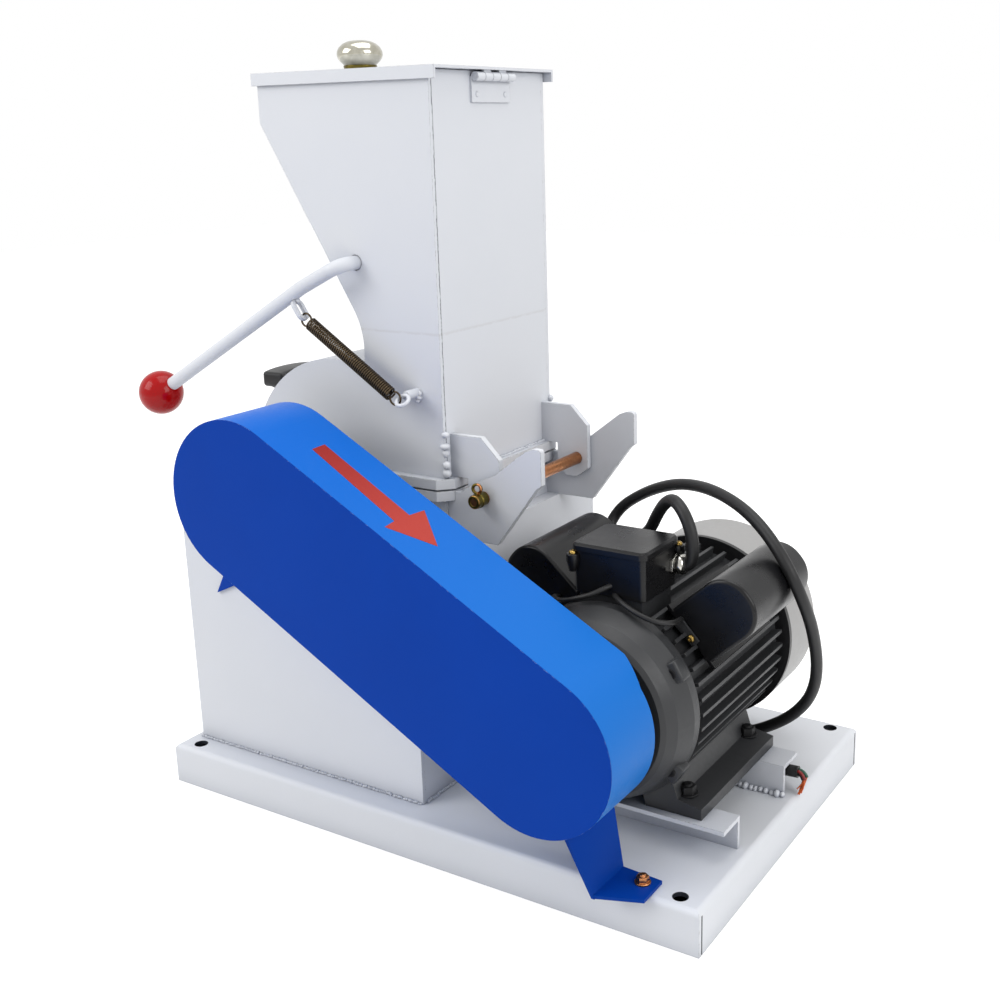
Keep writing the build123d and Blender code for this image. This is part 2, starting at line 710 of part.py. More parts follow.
def motor_body():
    """Finned frame with two feet, cast in one piece."""
    y0 = MOTOR_BODY_FRONT
    y1 = MOTOR_BODY_REAR
    body = disc_y(MOTOR_X, motor_z, MOTOR_CORE, y0, y1)
    for i in range(FIN_COUNT):
        angle = 360.0 * i / FIN_COUNT
        fin = Box(FIN_HEIGHT + 4, y1 - y0 - 12, FIN_THICK)
        place = Pos(MOTOR_X, (y0 + y1) / 2, motor_z) * Rot(0, -angle, 0)
        body += place * Pos(MOTOR_CORE - 4 + (FIN_HEIGHT + 4) / 2, 0, 0) * fin
    for side in (-1, 1):
        outer_x = MOTOR_X + side * FOOT_ACROSS / 2
        inner_x = outer_x - side * FOOT_WIDTH
        web = outline(
            (outer_x, rail_top),
            (outer_x, rail_top + FOOT_THICK),
            (outer_x - side * 22, rail_top + FOOT_THICK + 4),
            (outer_x - side * 34, motor_z - 40),
            (MOTOR_X + side * 30, motor_z - 62),
            (inner_x - side * 6, rail_top),
        )
        foot = plate_y(web, MOTOR_Y - FOOT_LENGTH / 2, MOTOR_Y + FOOT_LENGTH / 2)
        for end in (-1, 1):
            x = MOTOR_X + side * FOOT_HOLES_ACROSS / 2
            y = MOTOR_Y + end * FOOT_HOLES_ALONG / 2
            foot -= disc_z(x, y, FOOT_HOLE / 2, rail_top - 1, motor_z)
        body += foot
    body += block(
        MOTOR_X - BOX_WIDTH / 2 + 4,
        MOTOR_X + BOX_WIDTH / 2 - 4,
        BOX_Y - BOX_LENGTH / 2 + 4,
        BOX_Y + BOX_LENGTH / 2 - 4,
        motor_z + MOTOR_CORE - 12,
        motor_z + BOX_SEAT,
    )
    return body - disc_y(MOTOR_X, motor_z, SHIELD_RADIUS, SHIELD_FRONT, MOTOR_BODY_FRONT)


def motor_front_shield():
    """Domed end shield at the pulley end, with a boss round the shaft."""
    bore = MOTOR_SHAFT_DIAMETER / 2
    front = SHIELD_FRONT
    rear = MOTOR_BODY_FRONT
    profile = [
        (bore + 0.05, rear),
        (SHIELD_RADIUS, rear),
        (SHIELD_RADIUS, rear - 10),
        (SHIELD_FACE_RADIUS + 6, front + 12),
        (SHIELD_FACE_RADIUS, front + 3),
        (SHIELD_FACE_RADIUS - 4, front),
        (BOSS_RADIUS + 8, front),
        (BOSS_RADIUS, front - 6),
        (bore + 0.05, front - 6),
    ]
    return turned_y(MOTOR_X, motor_z, profile)


def motor_fan_cowl():
    """Sheet cowl over the fan at the rear, with rounded edge and ring of slots."""
    y0 = MOTOR_BODY_REAR
    y1 = y0 + COWL_LENGTH
    cowl = disc_y(MOTOR_X, motor_z, COWL_RADIUS, y0, y1)
    cowl = fillet(cowl.edges().filter_by(GeomType.CIRCLE).sort_by(Axis.Y)[-1], COWL_ROUND)
    for i in range(12):
        slot = Box(30, 6, 7)
        place = Pos(MOTOR_X, y1, motor_z) * Rot(0, 30 * i, 0)
        cowl -= place * Pos(48, 0, 0) * slot
    return cowl


def motor_shaft():
    """Output shaft from the shield to the pulley."""
    y0 = pulley_y - PULLEY_WIDTH / 2 - 4
    return disc_y(MOTOR_X, motor_z, MOTOR_SHAFT_DIAMETER / 2, y0, MOTOR_BODY_FRONT)


def capacitor_cover(side):
    """Rounded cover with a screwed lip, on the motor's shoulder."""
    half = CAP_WIDTH / 2
    top = CAP_SEAT + CAP_HEIGHT
    hood = outline((CAP_SEAT, -half), (top, -half), (top, half), (CAP_SEAT, half))
    hood = rounded(hood, (top, -half), CAP_ROUND)
    hood = rounded(hood, (top, half), CAP_ROUND)
    angle = CAP_ANGLE if side > 0 else 180 - CAP_ANGLE
    place = Pos(MOTOR_X, motor_z) * Rot(0, 0, angle)
    y1 = CAP_FRONT + CAP_LENGTH
    shape = plate_y(place * hood, CAP_FRONT, y1)
    shape = fillet(shape.edges().filter_by(GeomType.CIRCLE), 3)
    lip = outline(
        (CAP_SEAT, -half - CAP_LIP),
        (CAP_SEAT + CAP_LIP_THICK, -half - CAP_LIP),
        (CAP_SEAT + CAP_LIP_THICK, half + CAP_LIP),
        (CAP_SEAT, half + CAP_LIP),
    )
    shape += plate_y(place * lip, CAP_FRONT, y1)
    clear = disc_y(MOTOR_X, motor_z, MOTOR_CORE + FIN_HEIGHT + 0.3, CAP_FRONT - 1, y1 + 1)
    return shape - clear


def terminal_box():
    """Box on top of the motor, with a lid that overlaps the walls."""
    x0 = MOTOR_X - BOX_WIDTH / 2
    x1 = MOTOR_X + BOX_WIDTH / 2
    y0 = BOX_Y - BOX_LENGTH / 2
    y1 = BOX_Y + BOX_LENGTH / 2
    z0 = motor_z + BOX_SEAT
    z1 = z0 + BOX_HEIGHT
    walls = block(x0, x1, y0, y1, z0, z1 - BOX_LID)
    walls = fillet(walls.edges().filter_by(Axis.Z), BOX_ROUND)
    over = BOX_LID_OVER
    lid = block(x0 - over, x1 + over, y0 - over, y1 + over, z1 - BOX_LID, z1)
    lid = fillet(lid.edges().filter_by(Axis.Z), BOX_ROUND + over)
    lid = chamfer(lid.faces().sort_by(Axis.Z)[-1].edges(), 2)
    return walls + lid


def cable_gland():
    """Screwed metal gland on the side of the terminal box."""
    x0 = MOTOR_X + BOX_WIDTH / 2
    seat = Pos(x0, GLAND_Y, GLAND_Z) * Rot(0, 90, 0)
    nut = extrude(RegularPolygon(GLAND_DIAMETER / 2, 6), GLAND_LENGTH / 2)
    cap = Pos(0, 0, GLAND_LENGTH / 2) * Cylinder(
        GLAND_DIAMETER / 2 - 1.5, GLAND_LENGTH / 2, align=(Align.CENTER, Align.CENTER, Align.MIN)
    )
    return seat * (nut + cap)


def rail(web_y, out):
    """Angle rail: a web on the base plate and a top flange that carries the feet."""
    x1 = RAIL_END_X
    x0 = x1 - RAIL_LENGTH
    web = block(x0, x1, min(web_y, web_y + out * RAIL_SHEET), max(web_y, web_y + out * RAIL_SHEET),
                base_top, rail_top)
    edge = web_y + out * RAIL_FLANGE
    flange_part = block(x0, x1, min(web_y, edge), max(web_y, edge), rail_top - RAIL_SHEET, rail_top)
    shape = web + flange_part
    end = -1 if out < 0 else 1
    for side in (-1, 1):
        x = MOTOR_X + side * FOOT_HOLES_ACROSS / 2
        y = MOTOR_Y + end * FOOT_HOLES_ALONG / 2
        shape -= disc_z(x, y, FOOT_HOLE / 2, rail_top - 2 * RAIL_SHEET, rail_top + 1)
    return shape


def hopper_profile():
    """Side view of the upper half: hopper, neck and round chamber cover in one plate."""
    top = outline(
        (CHAMBER_BACK_X, upper_z),
        (CHAMBER_BACK_X, HOPPER_TOP),
        (HOPPER_FRONT_X, HOPPER_TOP),
        (HOPPER_FRONT_X, slope_top_z),
        (NECK_X, neck_z),
        (NECK_X, cover_top),
        (CRUSHER_X, cover_top),
        (CRUSHER_X, upper_z),
    )
    top = rounded(top, (NECK_X, neck_z), neck_bend)
    bowl = Pos(CRUSHER_X, shaft_z) * Circle(CHAMBER_RADIUS)
    below = Pos(CRUSHER_X, upper_z - CHAMBER_RADIUS) * Rectangle(
        4 * CHAMBER_RADIUS, 2 * CHAMBER_RADIUS
    )
    return top + (bowl - below)


def upper_side(y0):
    """Side plate of the upper half, with the shaft notch and the lever's hole."""
    plate = plate_y(hopper_profile(), y0, y0 + SHEET)
    plate -= disc_y(LEVER_X, LEVER_Z, LEVER_DIAMETER / 2 + LEVER_RUNNING, y0 - 1, y0 + SHEET + 1)
    return plate - shaft_notch(y0 - 1, y0 + SHEET + 1)


def hopper_front_wall():
    """Folded front wall: upright at the top, sloping, then upright down the neck."""
    inset = SHEET / 2
    shift = inset * tan(neck_half_turn)
    path = FilletPolyline(
        (HOPPER_FRONT_X + inset, HOPPER_TOP),
        (HOPPER_FRONT_X + inset, slope_top_z + shift),
        (NECK_X + inset, neck_z + shift),
        (NECK_X + inset, cover_top - SHEET),
        radius=[SHEET, neck_bend - inset],
    )
    return plate_y(trace(path, SHEET), chamber_y0 + SHEET, chamber_y1 - SHEET)


def hopper_back_wall():
    """Flat wall on the motor side, from the flange to the lid."""
    return block(
        CHAMBER_BACK_X - SHEET,
        CHAMBER_BACK_X,
        chamber_y0 + SHEET,
        chamber_y1 - SHEET,
        upper_z,
        HOPPER_TOP,
    )


def chamber_cover():
    """Curved sheet over the rotor, flat where it meets the neck."""
    band = Circle(CHAMBER_RADIUS) - Circle(CHAMBER_RADIUS - SHEET)
    keep = Pos(-CHAMBER_RADIUS, CHAMBER_RADIUS + upper_z - shaft_z) * Rectangle(
        2 * CHAMBER_RADIUS, 2 * CHAMBER_RADIUS
    )
    curve = Pos(CRUSHER_X, shaft_z) * (band & keep)
    flat = outline(
        (CRUSHER_X, cover_top - SHEET),
        (NECK_X, cover_top - SHEET),
        (NECK_X, cover_top),
        (CRUSHER_X, cover_top),
    )
    return plate_y(curve + flat, chamber_y0 + SHEET, chamber_y1 - SHEET)


def hinge_ear():
    """Fixed ear: carries the rod, and its long arm stops the tipped hopper."""
    tip_x = ROD_X + EAR_ARM_REACH
    tip_z = ROD_Z + EAR_ARM_RISE
    low_z = tip_z - EAR_ARM_END
    corner_z = split_z - EAR_CORNER_DROP
    shape = outline(
        (chamber_x1, stand_top),
        (chamber_x1, lower_flange_z0),
        (flange_x1, lower_flange_z0),
        (flange_x1, corner_z),
        (ROD_X - EAR_SHOULDER, corner_z),
        (ROD_X - EAR_SHOULDER / 2, ROD_Z + EAR_ARM_ROOT / 2),
        (ROD_X + EAR_SHOULDER / 2, ROD_Z + EAR_ARM_ROOT),
        (tip_x - EAR_ARM_END / 2, tip_z - 3),
        (tip_x - EAR_ARM_END / 4, tip_z),
        (tip_x, tip_z),
        (tip_x, low_z),
        (tip_x - EAR_ARM_END / 6, low_z - 4),
        (ROD_X + EAR_FOOT_REACH, stand_top),
    )
    shape = rounded(shape, (tip_x, tip_z), 3)
    return shape - Pos(ROD_X, ROD_Z) * Circle(ROD_DIAMETER / 2 + ROD_FIT)


def tilt_ear():
    """Ear on the tipping half, which turns on the rod."""
    top_z = ROD_Z + TILT_EAR_TOP
    outer_x = ROD_X + TILT_EAR_REACH
    shape = outline(
        (chamber_x1, upper_z),
        (chamber_x1, top_z),
        (ROD_X - TILT_EAR_REACH / 2, top_z),
        (outer_x, top_z - TILT_EAR_LOW),
        (outer_x, ROD_Z - TILT_EAR_LOW / 2),
        (ROD_X, ROD_Z - TILT_EAR_LOW),
        (ROD_X - TILT_EAR_REACH, ROD_Z - TILT_EAR_LOW),
        (ROD_X - TILT_EAR_SHOULDER, ROD_Z - TILT_EAR_LOW / 2),
        (ROD_X - TILT_EAR_SHOULDER, upper_z),
    )
    return shape - Pos(ROD_X, ROD_Z) * Circle(ROD_DIAMETER / 2 + ROD_RUNNING)


def hinge_rod():
    """Copper-coloured rod through all four ears, kept in by a split pin."""
    y0 = ear_y["near"] - ROD_NEAR_OVER
    y1 = ear_y["far"] + EAR_THICK + ROD_FAR_OVER
    rod = disc_y(ROD_X, ROD_Z, ROD_DIAMETER / 2, y0, y1)
    pin_y = y0 + COTTER_FROM_END
    reach = ROD_DIAMETER / 2 + COTTER_OUT
    pin = disc_z(ROD_X, pin_y, COTTER_DIAMETER / 2, ROD_Z - reach, ROD_Z + reach)
    ring = Torus(COTTER_RING, COTTER_DIAMETER / 2)
    ring = Pos(ROD_X, pin_y, ROD_Z + reach + COTTER_RING) * Rot(90, 0, 0) * ring
    return rod + pin + ring


def pull_handle():
    """Bow handle along Y on the chamber cover."""
    low = CHAMBER_RADIUS + 0.3
    half = HANDLE_SPAN / 2
    bar = outline(
        (low, -half),
        (low + HANDLE_STAND - 6, -half),
        (low + HANDLE_STAND, -half + 26),
        (low + HANDLE_STAND, half - 26),
        (low + HANDLE_STAND - 6, half),
        (low, half),
        (low, half - HANDLE_FOOT),
        (low + HANDLE_STAND - 14, half - HANDLE_FOOT - 3),
        (low + HANDLE_STAND - 11, 0),
        (low + HANDLE_STAND - 14, -half + HANDLE_FOOT + 3),
        (low, -half + HANDLE_FOOT),
    )
    body = extrude(bar, HANDLE_BAR / 2, both=True)
    body = fillet(body.edges().filter_by(Axis.Z).group_by(Axis.X)[-1], 8)
    place = Pos(CRUSHER_X, CHAMBER_Y, shaft_z) * Rot(0, -HANDLE_ANGLE, 0)
    body = place * body
    seat = disc_y(CRUSHER_X, shaft_z, low, chamber_y0, chamber_y1)
    return body - seat


def spring_lug():
    """Ring on a stem, welded to the side plate, where the spring hooks in."""
    ring = Pos(LUG_X, lever_y, LUG_Z) * Rot(LUG_TILT, 0, 0) * Torus(LUG_RING, LUG_WIRE / 2)
    back = LUG_RING * cos(radians(LUG_TILT))
    lift = LUG_RING * sin(radians(LUG_TILT))
    stem = disc_y(LUG_X, LUG_Z + lift, LUG_STEM / 2, lever_y + back, chamber_y0)
    return stem + ring


def gate_lever():
    """Bent round bar: straight through the hopper as a shaft, then out to the ball."""
    path = FilletPolyline(
        (LEVER_X, chamber_y1 + LEVER_FAR_OVER, LEVER_Z),
        (LEVER_X, lever_y, LEVER_Z),
        (LEVER_KNEE_X, lever_y, LEVER_KNEE_Z),
        (BALL_X, lever_y, BALL_Z),
        radius=[LEVER_BEND, LEVER_KNEE_BEND],
    )
    end_plane = Plane(origin=path @ 0, z_dir=path % 0)
    return sweep(end_plane * Circle(LEVER_DIAMETER / 2), path) + lever_eye()


def lever_eye():
    """Long ring welded under the lever's knee, across the lever's plane."""
    ring = SlotCenterToCenter(EYE_SPAN, EYE_WIDTH)
    ring -= SlotCenterToCenter(EYE_SPAN, EYE_WIDTH - 2 * EYE_WIRE)
    ring = extrude(ring, EYE_WIRE / 2, both=True)
    return Pos(EYE_X, lever_y, EYE_Z) * Rot(0, -EYE_TURN, 0) * ring


def lever_ball():
    """Ball grip, bored for the lever's end, which reaches to the middle."""
    middle = Vector(BALL_X, lever_y, BALL_Z)
    knee = Vector(LEVER_KNEE_X, lever_y, LEVER_KNEE_Z)
    seat = Plane(origin=middle, z_dir=knee - middle)
    bore = extrude(seat * Circle(LEVER_DIAMETER / 2 + ROD_FIT), BALL_DIAMETER)
    return seat * Sphere(BALL_DIAMETER / 2) - bore


def gate_flap():
    """Flat gate inside the hopper, turning with the lever's shaft."""
    y0 = chamber_y0 + SHEET + GATE_SIDE_GAP
    y1 = chamber_y1 - SHEET - GATE_SIDE_GAP
    hub = disc_y(LEVER_X, LEVER_Z, LEVER_DIAMETER / 2 + GATE_HUB, y0, y1)
    slope = radians(GATE_SLOPE)
    reach = chamber_x1 - SHEET - GATE_TIP_GAP - LEVER_X
    length = (reach - GATE_SHEET / 2 * sin(slope)) / cos(slope)
    leaf = Rot(0, 0, -GATE_SLOPE) * (Pos(length / 2, 0) * Rectangle(length, GATE_SHEET))
    shape = hub + plate_y(Pos(LEVER_X, LEVER_Z) * leaf, y0, y1)
    return shape - disc_y(LEVER_X, LEVER_Z, LEVER_DIAMETER / 2 + ROD_FIT, y0 - 1, y1 + 1)


def gate_spring():
    """Return spring, made as its outer shape, with a loop at each end in the eye and the lug."""
    turn = radians(EYE_TURN)
    half = (EYE_SPAN + EYE_WIDTH - EYE_WIRE) / 2
    held = (EYE_X + half * cos(turn), EYE_Z + half * sin(turn))
    caught = (LUG_X - LUG_RING, LUG_Z)
    length = hypot(caught[0] - held[0], caught[1] - held[1])
    along = ((caught[0] - held[0]) / length, (caught[1] - held[1]) / length)
    grip = HOOK_RADIUS - (EYE_WIRE + SPRING_WIRE) / 2 - HOOK_SLACK
    wire = SPRING_WIRE / 2
    shape = None
    loops = []
    for x, z, step in ((held[0], held[1], grip), (caught[0], caught[1], -grip)):
        x += along[0] * step
        z += along[1] * step
        loops.append((x, z))
        loop = Pos(x, lever_y, z) * Rot(90, 0, 0) * Torus(HOOK_RADIUS, wire)
        shape = loop if shape is None else shape + loop
    end_gap = HOOK_RADIUS - wire / 2
    start = Vector(loops[0][0], lever_y, loops[0][1]) + Vector(along[0], 0, along[1]) * end_gap
    end = Vector(loops[1][0], lever_y, loops[1][1]) - Vector(along[0], 0, along[1]) * end_gap
    plane = Plane(origin=start, z_dir=end - start)
    return shape + extrude(plane * Circle(SPRING_DIAMETER / 2), (end - start).length)


def hopper_lid():
    """Tray lid with lips on three sides; the hinge side is a plain edge."""
    x0 = HOPPER_FRONT_X - LID_GAP - LID_SHEET
    x1 = CHAMBER_BACK_X + LID_BACK_OVER
    y0 = chamber_y0 - LID_GAP - LID_SHEET
    y1 = chamber_y1 + LID_GAP + LID_SHEET
    z0 = HOPPER_TOP + LID_LIFT
    tray = block(x0, x1, y0, y1, z0 + LID_SHEET - LID_LIP, z0 + LID_SHEET)
    tray -= block(x0 + LID_SHEET, x1 + 1, y0 + LID_SHEET, y1 - LID_SHEET, z0 - LID_LIP, z0)
    hinge_room = LID_HINGE_WIDTH / 2 + 1.5
    return tray - block(
        CHAMBER_BACK_X + 0.5, x1 + 1, CHAMBER_Y - hinge_room, CHAMBER_Y + hinge_room,
        z0 - LID_LIP, z0
    )


def lid_knob():
    """Turned mushroom knob on the lid: a short neck and a flattened ball."""
    z0 = HOPPER_TOP + LID_LIFT + LID_SHEET
    flat = (KNOB_HEIGHT - KNOB_SKIRT) / KNOB_DIAMETER
    dome = scale(Sphere(KNOB_DIAMETER / 2), by=(1, 1, flat))
    dome = Pos(0, 0, (KNOB_HEIGHT + KNOB_SKIRT) / 2) * dome
    neck = Cylinder(KNOB_NECK / 2, KNOB_HEIGHT / 2, align=(Align.CENTER, Align.CENTER, Align.MIN))
    return Pos(KNOB_X, CHAMBER_Y, z0) * (dome + neck)


def knuckles(first, step):
    """Every second knuckle of the lid's hinge barrel, bored for the pin."""
    count = 5
    long = LID_HINGE_WIDTH / count
    y0 = CHAMBER_Y - LID_HINGE_WIDTH / 2
    shape = None
    for i in range(first, count, step):
        start = y0 + i * long + 0.3
        piece = disc_y(lid_pin_x, lid_pin_z, KNUCKLE_DIAMETER / 2, start, start + long - 0.6)
        shape = piece if shape is None else shape + piece
    return shape


def lid_hinge_leaf():
    """Fixed leaf on the hopper's back wall, with its knuckles and the pin."""
    y0 = CHAMBER_Y - LID_HINGE_WIDTH / 2
    y1 = CHAMBER_Y + LID_HINGE_WIDTH / 2
    x0 = CHAMBER_BACK_X
    leaf = block(x0, x0 + LID_HINGE_SHEET, y0, y1, HOPPER_TOP - LID_HINGE_DROP, lid_pin_z)
    shape = leaf + knuckles(0, 2)
    clear = None
    for i in (1, 3):
        start = y0 + i * LID_HINGE_WIDTH / 5 - 0.3
        cut = disc_y(lid_pin_x, lid_pin_z, KNUCKLE_DIAMETER / 2 + 0.5, start,
                     start + LID_HINGE_WIDTH / 5 + 0.6)
        clear = cut if clear is None else clear + cut
    shape -= clear
    return shape + disc_y(lid_pin_x, lid_pin_z, LID_PIN_DIAMETER / 2, y0, y1)


def lid_leaf():
    """Moving knuckles and the straps that join them to the lid."""
    shape = knuckles(1, 2)
    long = LID_HINGE_WIDTH / 5
    y0 = CHAMBER_Y - LID_HINGE_WIDTH / 2
    z1 = HOPPER_TOP + LID_LIFT
    for i in (1, 3):
        start = y0 + i * long + 0.3
        shape += block(
            lid_pin_x - 1.5, lid_pin_x + 1.5, start, start + long - 0.6, lid_pin_z, z1
        )
    bore = LID_PIN_DIAMETER / 2 + LID_PIN_RUNNING
    return shape - disc_y(lid_pin_x, lid_pin_z, bore, y0, y0 + LID_HINGE_WIDTH)


def bend_radii(points):
    """The largest radius each corner of a route allows."""
    radii = []
    for a, b, c in zip(points, points[1:], points[2:]):
        first = Vector(*b) - Vector(*a)
        second = Vector(*c) - Vector(*b)
        turn = radians(first.get_angle(second))
        radii.append(0.45 * min(first.length, second.length) / tan(turn / 2))
    return radii


def power_cable():
    """Cable from the gland round the fan cowl and under the far rail."""
    radii = bend_radii(CABLE_ROUTE)
    print("cable radii", [round(r, 1) for r in radii])
    path = FilletPolyline(*CABLE_ROUTE, radius=radii)
    end_plane = Plane(origin=path @ 0, z_dir=path % 0)
    tube = sweep(end_plane * Circle(CABLE_DIAMETER / 2), path)
    section = pi * CABLE_DIAMETER ** 2 / 4
    print("cable length", round(path.length, 1), "volume", round(tube.volume),
          "section times length", round(section * path.length))
    return tube


def cable_cores():
    """Three stripped cores that hang from the cable's cut end towards the base plate."""
    before = Vector(*CABLE_ROUTE[-2])
    end = Vector(*CABLE_ROUTE[-1])
    out = (end - before).normalized()
    cores = []
    for i in range(3):
        side = (i - 1) * (CORE_DIAMETER + CORE_GAP)
        start = end + Vector(0, side, 0)
        path = FilletPolyline(
            start,
            start + out * CORE_BEND,
            start + Vector(CORE_BEND, -CORE_BEND * (i + 1) / 3, -3 * CORE_BEND),
            start + Vector(-CORE_BEND / 4, -CORE_BEND * (i + 1), -CORE_DROP),
            radius=[CORE_BEND / 2.5, CORE_BEND],
        )
        plane = Plane(origin=path @ 0, z_dir=path % 0)
        cores.append(sweep(plane * Circle(CORE_DIAMETER / 2), path))
    return Compound(children=cores)


def build():
    """Every node of the crusher by name."""
    nodes = {"base_plate": base_plate()}
    nodes.update(stand_walls())
    nodes["discharge_chute"] = discharge_chute()
    nodes.update(lower_chamber())
    nodes["screen_grate"] = screen_grate()
    nodes["rotor"] = rotor()
    nodes["rotor_hammers"] = rotor_hammers()
    nodes["bearing_near"] = bearing(bearing_y["near"])
    nodes["bearing_far"] = bearing(bearing_y["far"])
    nodes["crusher_pulley"] = pulley(CRUSHER_X, shaft_z, CRUSHER_PULLEY, SHAFT_DIAMETER)
    nodes["motor_pulley"] = pulley(MOTOR_X, motor_z, MOTOR_PULLEY, MOTOR_SHAFT_DIAMETER)
    nodes["drive_belts"] = drive_belts()
    nodes["belt_guard"] = belt_guard()
    nodes["guard_foot"] = guard_foot()
    nodes["motor_body"] = motor_body()
    nodes["motor_front_shield"] = motor_front_shield()
    nodes["motor_fan_cowl"] = motor_fan_cowl()
    nodes["motor_shaft"] = motor_shaft()
    nodes["capacitor_cover_right"] = capacitor_cover(1)
    nodes["capacitor_cover_left"] = capacitor_cover(-1)
    nodes["terminal_box"] = terminal_box()
    nodes["cable_gland"] = cable_gland()
    nodes["rail_near"] = rail(RAIL_NEAR_Y, -1)
    nodes["rail_far"] = rail(RAIL_FAR_Y, 1)
    nodes["power_cable"] = power_cable()
    nodes["cable_cores"] = cable_cores()
    for side in ("near", "far"):
        y0 = ear_y[side]
        nodes["hinge_ear_" + side] = plate_y(hinge_ear(), y0, y0 + EAR_THICK)
        y0 = tilt_y[side]
        nodes["tilt_ear_" + side] = plate_y(tilt_ear(), y0, y0 + EAR_THICK)
    nodes["hinge_rod"] = hinge_rod()
    nodes["upper_flange"] = flange(upper_flange_z0, SHEET)
    nodes["upper_near_plate"] = upper_side(chamber_y0)
    nodes["upper_far_plate"] = upper_side(chamber_y1 - SHEET)
    nodes["hopper_front_wall"] = hopper_front_wall()
    nodes["hopper_back_wall"] = hopper_back_wall()
    nodes["chamber_cover"] = chamber_cover()
    nodes["pull_handle"] = pull_handle()
    nodes["spring_lug"] = spring_lug()
    nodes["lid_hinge_leaf"] = lid_hinge_leaf()
    nodes["gate_lever"] = gate_lever()
    nodes["lever_ball"] = lever_ball()
    nodes["gate_flap"] = gate_flap()
    nodes["gate_spring"] = gate_spring()
    nodes["hopper_lid"] = hopper_lid() + lid_leaf()
    nodes["lid_knob"] = lid_knob()
    return nodes


os.makedirs("parts", exist_ok=True)
for name, shape in build().items():
    export_step(shape, "parts/" + name + ".step")
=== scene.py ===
# %% [markdown]
# # Hammer crusher
# The machine stands on a folded base plate: a welded sheet stand carries the crusher, a motor drives
# it through belts under a blue guard, and a lever with a red ball opens the feed gate. The CAD
# solids are loaded as a fixed frame. This script gives them their finishes and adds what is too
# fine for them: weld beads, bolts, a wound spring, screws and the cable's smooth line.

# %% Load the frame
import bpy
import bmesh
import json
import math
import random
from mathutils import Matrix, Vector


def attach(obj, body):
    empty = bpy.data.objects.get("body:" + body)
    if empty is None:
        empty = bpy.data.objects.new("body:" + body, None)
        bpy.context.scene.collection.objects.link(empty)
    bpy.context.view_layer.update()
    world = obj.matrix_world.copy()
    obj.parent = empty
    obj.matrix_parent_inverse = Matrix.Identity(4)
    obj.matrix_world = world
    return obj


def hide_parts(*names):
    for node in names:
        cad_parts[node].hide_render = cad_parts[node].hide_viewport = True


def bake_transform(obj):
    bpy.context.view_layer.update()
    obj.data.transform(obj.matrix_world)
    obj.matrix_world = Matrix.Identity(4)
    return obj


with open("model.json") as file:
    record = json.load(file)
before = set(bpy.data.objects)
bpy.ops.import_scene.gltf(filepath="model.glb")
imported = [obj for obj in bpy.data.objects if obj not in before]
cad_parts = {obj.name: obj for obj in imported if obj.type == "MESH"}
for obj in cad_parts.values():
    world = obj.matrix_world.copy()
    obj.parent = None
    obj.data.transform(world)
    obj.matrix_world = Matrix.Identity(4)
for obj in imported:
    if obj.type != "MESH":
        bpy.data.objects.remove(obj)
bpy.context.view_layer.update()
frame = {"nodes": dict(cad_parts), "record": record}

nodes = frame["nodes"]

# %% [markdown]
# ## Camera
# The photograph is taken from the belt side, a little above the machine and close to it, so the
# vertical edges lean together towards the floor. The camera's place and turn come from fitting the
# base plate, stand and hopper corners, and a small shift puts the machine where the photograph
# has it in the frame.

# %% Camera at the photograph's view
CAMERA_PLACE = (0.66468, -0.97915, 0.63106)
CAMERA_AZIMUTH = 0.556
CAMERA_ELEVATION = 0.255
CAMERA_ROLL = -0.021


def camera_turn(azimuth, elevation, roll):
    """Rotation of a camera that looks along azimuth and down by elevation, then rolls."""
    forward = Vector((-math.sin(azimuth) * math.cos(elevation),
                      math.cos(azimuth) * math.cos(elevation),
                      -math.sin(elevation)))
    level = Vector((math.cos(azimuth), math.sin(azimuth), 0.0))
    upright = level.cross(forward)
    right = level * math.cos(roll) + upright * math.sin(roll)
    up = upright * math.cos(roll) - level * math.sin(roll)
    return Matrix((right, up, -forward)).transposed()


camera_data = bpy.data.cameras.new("camera")
camera_data.lens = 46.27
camera_data.sensor_width = 36.0
camera_data.shift_x = -0.0582
camera_data.shift_y = -0.0373
camera_data.clip_start = 0.05
camera_data.clip_end = 20.0
camera = bpy.data.objects.new("camera", camera_data)
camera.matrix_world = (Matrix.Translation(CAMERA_PLACE)
                       @ camera_turn(CAMERA_AZIMUTH, CAMERA_ELEVATION, CAMERA_ROLL).to_4x4())
bpy.context.scene.collection.objects.link(camera)
bpy.context.scene.camera = camera
print("camera at", CAMERA_PLACE, "lens", camera_data.lens)

# %% [markdown]
# ## Helpers
# Lengths are written in millimetres, as on a drawing, and turned to metres in one place. Colours
# are written as sRGB hex values and turned to the linear numbers that the shader wants.

# %% Units, colours and nodes
MM = 0.001


def mm(*values):
    """A point or size in millimetres as a vector in metres."""
    return Vector(values) * MM


def linear(hex_code):
    """The linear colour of an sRGB hex code such as d8dae0."""
    channels = [int(hex_code[i:i + 2], 16) / 255.0 for i in (0, 2, 4)]
    flat = [c / 12.92 if c <= 0.04045 else ((c + 0.055) / 1.055) ** 2.4 for c in channels]
    return (*flat, 1.0)


def node(tree, kind, inputs=None, **settings):
    """Adds a node, sets its settings, and fills or links its inputs by name or number."""
    made = tree.nodes.new(kind)
    for name, value in settings.items():
        setattr(made, name, value)
    for name, value in (inputs or {}).items():
        if isinstance(value, bpy.types.NodeSocket):
            tree.links.new(value, made.inputs[name])
        else:
            made.inputs[name].default_value = value
    return made


def new_material(name):
    """An empty node material with its tree and output node."""
    material = bpy.data.materials.new(name)
    material.use_nodes = True
    material.node_tree.nodes.clear()
    output = material.node_tree.nodes.new("ShaderNodeOutputMaterial")
    return material, material.node_tree, output


print("a millimetre is", MM, "m, and the grey 808080 is", round(linear("808080")[0], 3), "in linear light")

